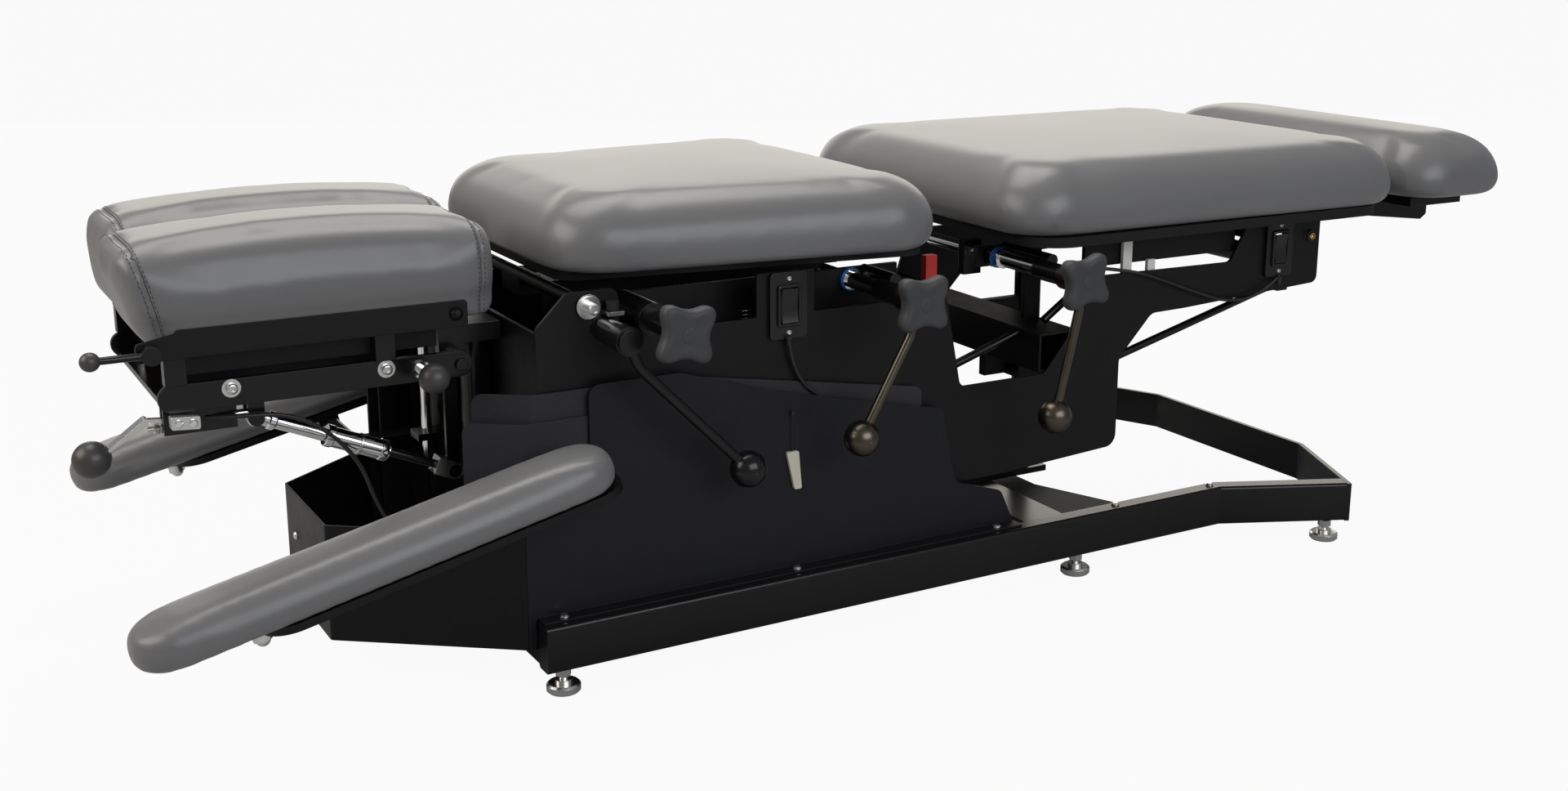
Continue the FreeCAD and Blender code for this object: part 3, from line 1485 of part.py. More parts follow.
# A bolster crowned along its length, with ends that bulge past the seam planes
def head_cushion(side):
    head_seam = bolster_head_x + bolster_end_bulge
    foot_seam = bolster_foot_x - bolster_end_bulge
    middle_y = side * (bolster_half + bolster_gap_half) * half
    middle_z = (bolster_top_z + bolster_bottom_z) * half
    rows = ((head_seam, 0), ((head_seam + foot_seam) * half, bolster_crown), (foot_seam, 0))
    wires = [outline(bolster_profile(side, rise), lambda p, x=x: V(x, p.x, p.y)) for x, rise in rows]
    parts = [Part.makeLoft(wires, True, False)]
    for seam, toward, x in ((wires[0], -1, head_seam), (wires[-1], 1, foot_seam)):
        rings = [seam]
        for bulge, share in ((bolster_mid_bulge, bolster_mid_share), (bolster_end_bulge, bolster_end_share)):
            ring = seam.copy()
            ring.scale(share, V(x, middle_y, middle_z))
            ring.translate(V(toward * bulge, 0, 0))
            rings.append(ring)
        parts.append(Part.makeLoft(rings, True, True))
    return join(parts[0], *parts[1:])


def clamp_handle():
    y = -(bolster_foot_half + bracket_thick + slip_gap)
    hub = cyl(clamp_x, y - spacer_thick - slip_gap, clamp_z, ACROSS, clamp_ball_radius, spacer_thick)
    pin = cyl(clamp_x, y - sheet, clamp_z, ACROSS, tilt_pin_radius, bracket_thick + sheet)
    root = clamp_ball_radius * half
    arm = cyl(clamp_x - root, y - spacer_thick * half - slip_gap, clamp_z, ALONG * -1, clamp_arm_radius,
              clamp_arm_length - root)
    knob = ball(clamp_x - clamp_arm_length - clamp_ball_radius * half, y - spacer_thick * half - slip_gap,
                clamp_z, clamp_ball_radius)
    return join(hub, pin, arm, knob)


def lock_knob():
    y = -frame_half_width
    stem = cyl(lock_x, y - lock_stem_length, lock_z, ACROSS, lock_stem_radius,
               lock_stem_length + spacer_thick)
    knob = ball(lock_x, y - lock_stem_length - lock_ball_radius * half, lock_z, lock_ball_radius)
    collar = cyl(lock_x, y - slip_gap - sheet * 2, lock_z, ACROSS, lock_stem_radius + sheet * 2, sheet * 2)
    return join(stem, knob, collar)


def strut_line():
    start = V(strut_top_x, -strut_y, strut_top_z)
    end = V(strut_low_x, -strut_y, strut_low_z)
    unit = (end - start)
    length = unit.Length
    return start, end, unit.normalize(), length


def strut_cylinder():
    start, end, unit, length = strut_line()
    body_end = start + unit * (length * strut_body_share)
    eye = cyl(strut_top_x, -strut_y - strut_eye_thick * half, strut_top_z, ACROSS, strut_eye_radius,
              strut_eye_thick)
    thin = Part.makeCylinder(strut_thin_radius - sheet, length * strut_gap_share, start, unit)
    step = start + unit * (length * strut_gap_share)
    body = Part.makeCylinder(strut_body_radius, length * (strut_body_share - strut_gap_share), step, unit)
    solid = join(eye, thin, body)
    solid = solid.cut(cyl(strut_top_x, -strut_y - strut_eye_thick, strut_top_z, ACROSS,
                          strut_pin_radius + run_fit, strut_eye_thick * 2))
    deep = start + unit * (strut_eye_radius * 2)
    near = body_end - unit * strut_bush
    solid = solid.cut(Part.makeCylinder(strut_bore, (near - deep).Length, deep, unit))
    return solid.cut(Part.makeCylinder(strut_rod_radius + run_fit, (body_end - deep).Length, deep, unit))


# The rod is drawn level, with its fork at the origin, then turned into place
def strut_rod():
    start, end, unit, length = strut_line()
    clear = strut_pin_radius + strut_open_gap
    eye_radius = clear + sheet
    thick = (strut_eye_thick + carriage_arm_thick) * half
    root = eye_radius + strut_gap
    fork = join(box(-root - strut_fork_root, 0, -thick, thick, -eye_radius, eye_radius),
                cyl(0, -thick, 0, ACROSS, eye_radius, thick * 2))
    slot_half = carriage_arm_thick * half + slip_gap * 2
    fork = fork.cut(box(-root, eye_radius * 2, -slot_half, slot_half, -eye_radius, eye_radius))
    fork = fork.cut(cyl(0, -thick, 0, ACROSS, clear, thick * 2))
    reach = length * (1 - strut_inner_share)
    rod = cyl(-reach, 0, 0, ALONG, strut_rod_radius, reach - root - strut_fork_root * half)
    solid = join(fork, rod)
    solid.rotate(V(0, 0, 0), ACROSS, math.degrees(math.atan2(-unit.z, unit.x)))
    solid.translate(end)
    return solid


def release_block():
    top = frame_top_z - frame_bar_height
    low = release_z - board_thick * 2
    body = box(release_block_head_x, release_block_foot_x, -strut_y - release_block_half,
               -strut_y + release_block_half, low, top)
    slot = box(release_block_head_x, release_pivot_x + release_block_half, -strut_y - release_slot_half,
               -strut_y + release_slot_half, low, top)
    pin = cyl(release_pivot_x, -strut_y - release_block_half, release_pivot_z, ACROSS, strut_pin_radius,
              release_block_half * 2)
    return join(body.cut(slot), pin).cut(cable(release_cable_path(), cable_radius + slip_gap))


def release_lever():
    y0 = -strut_y - release_slot_half + thin_gap
    y1 = -strut_y + release_slot_half - thin_gap
    t = release_bar_thick
    z = release_pivot_z
    tongue = upright([(release_pivot_x, z - t, 0), (release_pivot_x, z + t, 0),
                      (release_bend_x, release_bend_z + t * half, 0), (release_bend_x, release_bend_z - t * half, 0)],
                     y0, y1)
    eye = cyl(release_pivot_x, y0, z, ACROSS, release_eye_radius, y1 - y0)
    bar = upright([(release_bend_x + t, release_bend_z + t * half, 0), (release_bend_x + t, release_bend_z - t, 0),
                   (release_low_x, release_low_z - t * half, t), (release_ball_x, release_ball_z - t * half, 0),
                   (release_ball_x, release_ball_z + t * half, 0), (release_low_x, release_low_z + t * half, t),
                   (release_bend_x, release_bend_z + t, t)],
                  -strut_y - release_bar_width * half, -strut_y + release_bar_width * half)
    knob = ball(release_ball_x, -strut_y, release_ball_z, release_ball_radius)
    solid = join(tongue, eye, bar, knob)
    return solid.cut(cyl(release_pivot_x, y0, z, ACROSS, strut_pin_radius + run_fit, y1 - y0))


def release_cable():
    return cable(release_cable_path(), cable_radius)


def head_bolts():
    parts = []
    y = -(bolster_foot_half + bracket_thick + slip_gap)
    for side in both_sides:
        dome = Part.makeSphere(bolt_head_radius, V(dome_bolt_x, side * -y, dome_bolt_z))
        keep = box(dome_bolt_x - bolt_head_radius, dome_bolt_x + bolt_head_radius,
                   min(side * -y, side * (-y + bolt_head_radius)),
                   max(side * -y, side * (-y + bolt_head_radius)),
                   dome_bolt_z - bolt_head_radius, dome_bolt_z + bolt_head_radius)
        parts.append(dome.common(keep))
        for x in bar_screw_xs:
            face = side * frame_half_width
            washer = cyl(x, min(face, face + side * bar_washer_thick), bar_screw_z, ACROSS, bar_washer_radius,
                         bar_washer_thick)
            reach = bar_washer_thick + screw_head_height
            head = cyl(x, min(face, face + side * reach), bar_screw_z, ACROSS, screw_head_radius, reach)
            parts.append(join(washer, head))
    return group(*parts)


# A crowned cushion lofted through outlines that are drawn in towards the top and the bottom
def crowned(points_at, levels, bottom, top):
    wires = []
    for share, inset in levels:
        z = bottom + (top - bottom) * share
        wires.append(outline(points_at(inset), lambda p, z=z: V(p.x, p.y, z)))
    return Part.makeLoft(wires, True, True)


def four_corners(head_x, foot_x, head_half, foot_half, head_round, foot_round, inset):
    head_r = head_round - inset * corner_shrink_share * min(1, head_round / foot_round)
    foot_r = foot_round - inset * corner_shrink_share
    return [(head_x + inset, -(head_half - inset), head_r), (foot_x - inset, -(foot_half - inset), foot_r),
            (foot_x - inset, foot_half - inset, foot_r), (head_x + inset, head_half - inset, head_r)]


def chest_outline(inset):
    return four_corners(chest_head_x, chest_foot_x, chest_head_half, chest_foot_half, chest_corner,
                        chest_corner, inset)


def pelvic_outline(inset):
    return four_corners(pelvic_head_x, pelvic_foot_x, pelvic_half, pelvic_half, pelvic_corner,
                        pelvic_corner, inset)


def foot_outline(inset):
    return four_corners(foot_head_x, foot_foot_x, foot_half, foot_half, foot_head_corner,
                        foot_corner, inset * foot_inset_share)


def chest_frame():
    shell = box(spine_head_x, spine_foot_x, -spine_half_width, spine_half_width, spine_bottom_z, spine_top_z)
    w = spine_wall
    hollow = box(spine_head_x + w, spine_foot_x - w, -spine_half_width + w, spine_half_width - w,
                 spine_bottom_z + w, spine_top_z - w)
    body = shell.cut(hollow)
    root = box(pivot_x - pivot_tube_radius, spine_head_x, -spine_half_width, spine_half_width,
               spine_top_z - lug_radius, pivot_z)
    bar = cyl(pivot_x, -pivot_tube_half, pivot_z, ACROSS, pivot_tube_radius, pivot_tube_half * 2)
    tail = box(spine_foot_x, board_pin_x, -spine_half_width, spine_half_width, spine_top_z - lug_radius,
               pivot_z)
    eye = cyl(board_pin_x, -spine_half_width, board_pin_z, ACROSS, lug_radius - sheet * half,
              spine_half_width * 2)
    pin = cyl(board_pin_x, -board_lug_y - lug_thick - sheet, board_pin_z, ACROSS, pin_radius,
              (board_lug_y + lug_thick + sheet) * 2)
    whole = join(body, root, bar, tail, eye, pin)
    return whole.cut(cyl(pivot_x, -pivot_tube_half, pivot_z, ACROSS, pivot_radius + run_fit,
                         pivot_tube_half * 2))


def hinge_lug(x, y, z, top):
    lug = box(x - lug_radius, x + lug_radius, y, y + lug_thick, z, top)
    lug = join(lug, cyl(x, y, z, ACROSS, lug_radius, lug_thick))
    return lug.cut(cyl(x, y, z, ACROSS, pin_radius + run_fit, lug_thick))


def chest_board():
    board = plan(four_corners(chest_head_x + board_inset, chest_foot_x - lug_thick,
                              chest_head_half - chest_board_inset, chest_foot_half - chest_board_inset,
                              board_inset, board_inset, 0), board_bottom_z, cushion_bottom_z)
    lugs = []
    for side in both_sides:
        y = board_lug_y if side > 0 else -board_lug_y - lug_thick
        lugs.append(hinge_lug(board_pin_x, y, board_pin_z, board_bottom_z))
    return join(board, *lugs)


def chest_cushion():
    return crowned(chest_outline, chest_levels, cushion_bottom_z, cushion_top_z)


# Plywood board on a welded steel underframe, with a steel band screwed under each long edge
def pelvic_frame():
    board = plan(pelvic_outline(board_inset), board_bottom_z, cushion_bottom_z)
    parts = []
    bands = []
    for side in both_sides:
        low = min(side * (pelvic_rail_y - pelvic_rail_width * half),
                  side * (pelvic_rail_y + pelvic_rail_width * half))
        parts.append(box(pelvic_rail_head_x, pelvic_pin_x + lug_radius * 2, low, low + pelvic_rail_width,
                         board_bottom_z - pelvic_rail_height, board_bottom_z))
        low = min(side * pelvic_band_y, side * (pelvic_band_y + pelvic_band_thick))
        bands.append(box(pelvic_band_head_x, pelvic_band_foot_x, low, low + pelvic_band_thick,
                         pelvic_band_low_z, board_bottom_z))
        y = side * pelvic_rail_y - lug_thick * half
        parts.append(hinge_lug(pelvic_pin_x, y, pelvic_pin_z, board_bottom_z))
    for x in pelvic_cross_xs:
        parts.append(box(x, x + spacer_width, -pelvic_rail_y, pelvic_rail_y,
                         board_bottom_z - pelvic_rail_height, board_bottom_z))
    steel = join(parts[0], *parts[1:])
    steel = steel.cut(cyl(pelvic_pin_x, -plate_half_width, pelvic_pin_z, ACROSS, pin_radius + run_fit,
                          plate_half_width * 2))
    return group(board, steel, *bands)


def pelvic_cushion():
    return crowned(pelvic_outline, flat_levels, cushion_bottom_z, pelvic_top_z)


def foot_slide():
    parts = [box(foot_board_head_x, foot_board_foot_x, -foot_board_half, foot_board_half,
                 board_bottom_z, cushion_bottom_z)]
    x0 = foot_board_head_x + sheet * 2
    inner = slide_y - slide_width * half
    for side in both_sides:
        low = min(side * inner, side * (inner + slide_width))
        tip_x = slide_foot_x + gusset_tip
        rail = upright([(slide_head_x, slide_bottom_z, sheet), (gusset_head_x, slide_bottom_z, 0),
                        (slide_foot_x, gusset_low_z, slide_round * half),
                        (tip_x, gusset_low_z + gusset_tip_rise, slide_round * half * half),
                        (tip_x, slide_bottom_z + slide_height, 0),
                        (slide_head_x, slide_bottom_z + slide_height, sheet)], low, low + slide_width)
        parts.append(rail)
        parts.append(box(x0, x0 + foot_cross_width, low, low + slide_width,
                         slide_bottom_z + slide_height - sheet, board_bottom_z))
    parts.append(box(x0, x0 + foot_cross_width, -inner, inner, slide_bottom_z, slide_bottom_z + spacer_thick))
    return join(parts[0], *parts[1:])


def foot_cushion():
    return crowned(foot_outline, foot_levels, cushion_bottom_z, foot_cushion_top_z)


# Shafts with their rings, sleeves and washers, on the near side
def shaft_set():
    end = knob_y + knob_bore_depth
    rows = ((shaft_one_x, shaft_one_z, shaft_two_head_y), (shaft_two_x, shaft_two_z, shaft_two_head_y),
            (shaft_three_x, shaft_three_z, shaft_three_head_y))
    parts = []
    for x, z, start in rows:
        shaft = cyl(x, -end, z, ACROSS, shaft_radius, end - start)
        washer_y = lever_y + lever_hub_thick * half + slip_gap
        shaft = join(shaft, cyl(x, -washer_y - washer_thick, z, ACROSS, washer_radius, washer_thick))
        parts.append(shaft)
    for x, z, start in ((shaft_two_x, shaft_two_z, sleeve_two_y),
                        (shaft_three_x, shaft_three_z, sleeve_three_y)):
        parts.append(tube(x, -start - ring_thick, z, ACROSS, ring_radius, shaft_radius, ring_thick))
        length = sleeve_black_y - start - ring_thick
        parts.append(tube(x, -sleeve_black_y, z, ACROSS, sleeve_radius + thin_gap, shaft_radius, length))
    # Short shaft of the first lever, through the near plate, with a rim and an end washer
    stub_end = lever_one_y + lever_hub_thick * half + slip_gap + washer_thick
    stub = cyl(lever_one_x, -stub_end, lever_one_z, ACROSS, shaft_radius, stub_end - stub_head_y)
    washer = cyl(lever_one_x, -stub_end, lever_one_z, ACROSS, washer_radius, washer_thick)
    rim = cyl(lever_one_x, -plate_half_width - ring_thick, lever_one_z, ACROSS, lever_rim_radius, ring_thick)
    nut = cyl(lever_one_x, -plate_half_width + plate_thick, lever_one_z, ACROSS, ring_radius, ring_thick)
    parts.append(join(stub, washer, rim, nut))
    return group(*parts)


# Black barrels and collars on the shafts, blue rings and the guide pins beside them
def shaft_collars():
    washer = lever_y + lever_hub_thick * half + slip_gap
    barrel = tube(shaft_one_x, -barrel_foot_y, shaft_one_z, ACROSS, hub_barrel_radius, shaft_radius,
                  barrel_foot_y - barrel_head_y)
    collar = tube(shaft_one_x, -washer, shaft_one_z, ACROSS, ring_radius, shaft_radius, washer - barrel_foot_y)
    parts = [join(barrel, collar)]
    hub_end = lever_y - lever_hub_thick * half - slip_gap
    for x, z in ((shaft_two_x, shaft_two_z), (shaft_three_x, shaft_three_z)):
        parts.append(tube(x, -hub_end, z, ACROSS, ring_radius, shaft_radius, hub_end - sleeve_black_y))
    one_end = lever_one_y - lever_hub_thick * half - slip_gap
    one_start = plate_half_width + ring_thick
    parts.append(tube(lever_one_x, -one_end, lever_one_z, ACROSS, lever_barrel_radius, shaft_radius,
                      one_end - one_start))
    # Blue rings, and the black collar of the third shaft
    stand_face = stand_y + stand_thick
    rows = ((shaft_two_x, shaft_two_z, barrel_head_y, blue_ring_radius, blue_ring_thick),
            (shaft_three_x, shaft_three_z, stand_face, collar_three_radius, collar_three_length),
            (shaft_three_x, shaft_three_z, stand_face + collar_three_length, blue_ring_three_radius,
             blue_ring_thick))
    for x, z, y, radius, length in rows:
        parts.append(tube(x, -y - length, z, ACROSS, radius, shaft_radius, length))
    for x, z, y in ((shaft_two_x, shaft_two_z, shaft_rail_y + shaft_rail_thick),
                    (shaft_three_x, shaft_three_z, stand_face)):
        parts.append(cyl(x + guide_pin_dx, -sleeve_black_y, z + guide_pin_dz, ACROSS, guide_pin_radius,
                         sleeve_black_y - y))
    yoke = box(shaft_three_x - cam_radius, shaft_three_x + cam_radius, -cam_y - cam_thick,
               -cam_y - cam_thick + yoke_thick, shaft_three_z - yoke_height, shaft_three_z + lug_radius)
    parts.append(yoke.cut(cyl(shaft_three_x, -stand_y, shaft_three_z, ACROSS, shaft_radius, stand_y)))
    return group(*parts)


def drop_lever(x, z, y, bend, end):
    hub = cyl(x, -y - lever_hub_thick * half, z, ACROSS, lever_hub_radius, lever_hub_thick)
    start = V(x, -y, z) + (V(bend[0], -y, bend[1]) - V(x, -y, z)).normalize() * lever_root
    rod = bent_rod([start, V(bend[0], -y, bend[1]), V(end[0], -y, end[1])], lever_rod_radius,
                   bend_reach_share, lever_hub_radius * 2)
    knob = ball(end[0], -y, end[1], ball_radius)
    solid = join(hub, rod, knob)
    return solid.cut(cyl(x, -y - lever_hub_thick, z, ACROSS, shaft_radius + run_fit, lever_hub_thick * 2))


# Four-lobed knob with hollows between the lobes
def star_knob(x, z, turn):
    front = knob_y + knob_bore_depth
    back = knob_y + knob_thick
    boss = cyl(x, -front, z, ACROSS, knob_boss_radius, knob_bore_depth)

    def star(y, inset):
        points = []
        for i in range(knob_lobes):
            middle = math.radians(turn) + 2 * math.pi * i / knob_lobes
            for angle, reach, r in ((middle - knob_lobe_half, knob_reach - inset, knob_lobe_round - inset),
                                    (middle + knob_lobe_half, knob_reach - inset, knob_lobe_round - inset),
                                    (middle + math.pi / knob_lobes, knob_waist - inset, knob_hollow_round)):
                points.append((x + reach * math.cos(angle), z + reach * math.sin(angle), r))
        return outline(points, lambda p: V(p.x, y, p.y))
    body = Part.Face(star(-front, 0)).extrude(V(0, front - back + knob_edge, 0))
    bevel = Part.makeLoft([star(-back + knob_edge, 0), star(-back, knob_edge)], True, True)
    solid = join(body, bevel, boss)
    return solid.cut(cyl(x, -front, z, ACROSS, shaft_radius + run_fit, knob_bore_depth))


# Armrest pieces are built level along their own axis, then tilted into place
def arm_place(shape, side):
    angle = math.degrees(math.asin(arm_tilt_share))
    shape.rotate(V(0, 0, 0), ACROSS, -angle)
    shape.translate(V(arm_outer_x, 0, arm_outer_z))
    return shape if side > 0 else mirror(shape)


def arm_local(x, z):
    slope = math.asin(arm_tilt_share)
    dx = x - arm_outer_x
    dz = z - arm_outer_z
    return dx * math.cos(slope) + dz * math.sin(slope), dz * math.cos(slope) - dx * math.sin(slope)


# The far armrest sits nearer to the foot end on its lug
def arm_shift(side):
    return arm_far_shift if side > 0 else 0


def arm_pad(side):
    def edge(inset):
        w = arm_width * half - inset
        r = pad_corner - inset
        return [(inset, arm_y - w, r), (arm_length - inset, arm_y - w, r),
                (arm_length - inset, arm_y + w, r), (inset, arm_y + w, r)]
    pad = crowned(edge, pad_levels, -arm_thick * half, arm_thick * half)
    pad.translate(V(arm_shift(side), 0, 0))
    return arm_place(pad, side)


def arm_plate(side):
    low = -arm_thick * half - arm_plate_thick
    w = arm_plate_width * half
    ends = arm_plate_width * half - sheet
    start = arm_length * arm_plate_share + arm_shift(side)
    end = arm_length + arm_plate_past + arm_shift(side)
    plate = plan([(start, arm_y - w, ends), (end, arm_y - w, ends), (end, arm_y + w, ends),
                  (start, arm_y + w, ends)], low, low + arm_plate_thick)
    u, w_pin = arm_local(arm_tube_x, arm_tube_z)
    lug = box(u - arm_lug_head, u + arm_lug_head, arm_lug_inner_y, arm_lug_outer_y, w_pin, low + arm_plate_thick)
    eye = cyl(u, arm_lug_inner_y, w_pin, ACROSS, arm_lug_head, arm_lug_outer_y - arm_lug_inner_y)
    solid = join(plate, lug, eye)
    for x, z in cap_nut_places:
        v, skip = arm_local(x, z)
        v = v + arm_shift(side)
        nut = cyl(v, arm_y, low - cap_nut_height, UP, cap_nut_radius, cap_nut_height)
        dome = ball(v, arm_y, low - cap_nut_height, cap_nut_radius - sheet)
        solid = join(solid, nut, dome)
    solid = solid.cut(cyl(u, arm_lug_inner_y, w_pin, ACROSS, arm_pin_radius + run_fit,
                          arm_lug_outer_y - arm_lug_inner_y))
    return arm_place(solid, side)


# Tube of the third guide, which slides on the fixed rod
def guide_post_tube():
    return tube(post_three_x, 0, post_three_bottom_z, UP, post_three_radius, post_three_radius - post_three_wall,
                post_three_top_z - post_three_bottom_z)


def build():
    rail = base_rail()
    save("base_rails", group(rail, mirror(rail)))
    save("foot_end_bumper", foot_end_bumper())
    save("base_cross_members", base_cross_members())
    save("levelling_feet", levelling_feet())
    cover = side_cover()
    save("side_covers", group(cover, mirror(cover)))
    save("nose_cover", nose_cover())
    save("cover_screws", cover_screws())
    save("lift_columns_outer", lift_columns_outer())
    save("actuator_body", actuator_body())
    save("hanging_wedge", hanging_wedge())
    save("skirt_lower", skirt_pair(skirt_lower_half_width, skirt_head_x, skirt_lower_top_z, cover_half_width))
    save("skirt_upper", skirt_pair(skirt_upper_half_width, skirt_upper_head_x, skirt_upper_top_z,
                                   skirt_lower_half_width))
    plate = chassis_plate()
    save("chassis_plate_near", plate_cutouts(plate))
    save("chassis_plate_far", mirror(plate))
    save("chassis_cross_members", chassis_cross_members())
    save("chassis_fasteners", group(*pivot_bolts(), *washer_stack(), *bumpers()))
    save("lift_columns_inner", lift_columns_inner())
    save("actuator_rod", actuator_rod())
    save("head_column_tubes", head_column_tubes())
    save("armrest_cross_tube", armrest_cross_tube())
    save("switch_bezels", switch_bezels())
    save("rocker_head", rocker(bezel_one_x, bezel_one_z))
    save("rocker_foot", rocker(bezel_two_x, bezel_two_z))
    save("jack_socket", jack_socket())
    save("control_cables", control_cables())
    save("stop_blocks", stop_blocks())
    save("tie_rods", group(*tie_rods().Solids, guide_post_tube()))
    save("drop_shafts", shaft_set())
    save("shaft_collars", shaft_collars())
    save("head_yoke", head_yoke())
    save("head_posts", head_posts())
    save("tilt_frame", tilt_frame())
    save("cushion_bracket", cushion_bracket())
    save("head_cushion_near", head_cushion(-1))
    save("head_cushion_far", head_cushion(1))
    save("clamp_handle", clamp_handle())
    save("lock_knob", lock_knob())
    save("strut_cylinder", strut_cylinder())
    save("strut_rod", strut_rod())
    save("release_block", release_block())
    save("release_lever", release_lever())
    save("release_cable", release_cable())
    save("head_bolts", head_bolts())
    save("chest_frame", chest_frame())
    save("chest_board", chest_board())
    save("chest_cushion", chest_cushion())
    save("pelvic_frame", pelvic_frame())
    save("pelvic_cushion", pelvic_cushion())
    save("foot_slide", foot_slide())
    save("foot_cushion", foot_cushion())
    save("drop_lever_1", drop_lever(lever_one_x, lever_one_z, lever_one_y, (lever_one_bend_x, lever_one_bend_z),
                                    (lever_one_ball_x, lever_one_ball_z)))
    save("drop_lever_2", drop_lever(shaft_two_x, shaft_two_z, lever_y, (lever_two_bend_x, lever_two_bend_z),
                                    (lever_two_ball_x, lever_two_ball_z)))
    save("drop_lever_3", drop_lever(shaft_three_x, shaft_three_z, lever_y, (lever_three_bend_x, lever_three_bend_z),
                                    (lever_three_ball_x, lever_three_ball_z)))
    save("star_knob_1", star_knob(shaft_one_x, shaft_one_z, knob_turns[0]))
    save("star_knob_2", star_knob(shaft_two_x, shaft_two_z, knob_turns[1]))
    save("star_knob_3", star_knob(shaft_three_x, shaft_three_z, knob_turns[2]))
    save("armrest_pad_near", arm_pad(-1))
    save("armrest_pad_far", arm_pad(1))
    save("armrest_plate_near", arm_plate(-1))
    save("armrest_plate_far", arm_plate(1))


os.makedirs("parts", exist_ok=True)
build()
for name, shape in saved:
    bounds = shape.BoundBox
    print(name, len(shape.Solids), "solids", "valid" if shape.isValid() else "NOT VALID",
          [round(v) for v in (bounds.XMin, bounds.XMax, bounds.YMin, bounds.YMax, bounds.ZMin, bounds.ZMax)])
print(len(saved), "nodes")
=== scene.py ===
import json
import math

import bmesh
import bpy
from mathutils import Matrix, Vector
from mathutils.bvhtree import BVHTree


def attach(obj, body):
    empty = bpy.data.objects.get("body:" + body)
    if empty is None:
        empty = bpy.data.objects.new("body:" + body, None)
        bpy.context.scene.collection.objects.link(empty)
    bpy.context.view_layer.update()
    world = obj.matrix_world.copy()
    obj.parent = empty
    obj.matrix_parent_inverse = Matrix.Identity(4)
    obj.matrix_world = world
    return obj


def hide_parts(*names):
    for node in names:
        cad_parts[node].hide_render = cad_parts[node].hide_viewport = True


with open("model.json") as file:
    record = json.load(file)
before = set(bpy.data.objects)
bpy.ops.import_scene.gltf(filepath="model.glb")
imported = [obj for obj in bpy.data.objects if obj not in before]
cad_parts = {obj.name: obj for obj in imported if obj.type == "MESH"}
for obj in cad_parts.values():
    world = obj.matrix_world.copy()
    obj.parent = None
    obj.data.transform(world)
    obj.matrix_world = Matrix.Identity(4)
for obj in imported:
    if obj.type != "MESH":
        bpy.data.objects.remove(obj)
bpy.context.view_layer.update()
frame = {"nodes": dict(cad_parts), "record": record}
nodes = frame["nodes"]
collection = bpy.context.scene.collection

# Points are given in millimetres from the head end of the base rails, as in the part's source
SHIFT = -0.479
MM = 0.001
SIDES = ((-1, "near"), (1, "far"))


def at(x, y, z):
    return Vector((x * MM + SHIFT, y * MM, z * MM))


# Camera: fitted to the rails, feet and cushions of the photograph
PHOTO_WIDTH, PHOTO_HEIGHT = 1920, 968
FOCAL_PIXELS = 2152.8
CENTRE_X, CENTRE_Y = 1048.2, 412.3
CAMERA_PLACE = (-1.0953, -1.8295, 0.7909)
SENSOR = 36
lens = bpy.data.cameras.new("camera")
lens.sensor_width = SENSOR
lens.lens = FOCAL_PIXELS / PHOTO_WIDTH * SENSOR
lens.shift_x = (PHOTO_WIDTH / 2 - CENTRE_X) / PHOTO_WIDTH
lens.shift_y = (CENTRE_Y - PHOTO_HEIGHT / 2) / PHOTO_WIDTH
lens.clip_start = 0.05
camera = bpy.data.objects.new("camera", lens)
collection.objects.link(camera)
azimuth = math.radians(31.7276)
pitch = math.radians(13.504)
roll = math.radians(0.6126)
forward = Vector((math.sin(azimuth) * math.cos(pitch), math.cos(azimuth) * math.cos(pitch),
                  -math.sin(pitch)))
right = Vector((math.cos(azimuth), -math.sin(azimuth), 0))
up = right.cross(forward)
across = right * math.cos(roll) + up * math.sin(roll)
above = up * math.cos(roll) - right * math.sin(roll)
turned = Matrix((across, above, -forward)).transposed()
camera.matrix_world = Matrix.Translation(CAMERA_PLACE) @ turned.to_4x4()
bpy.context.scene.camera = camera
bpy.context.scene.view_settings.view_transform = "Standard"


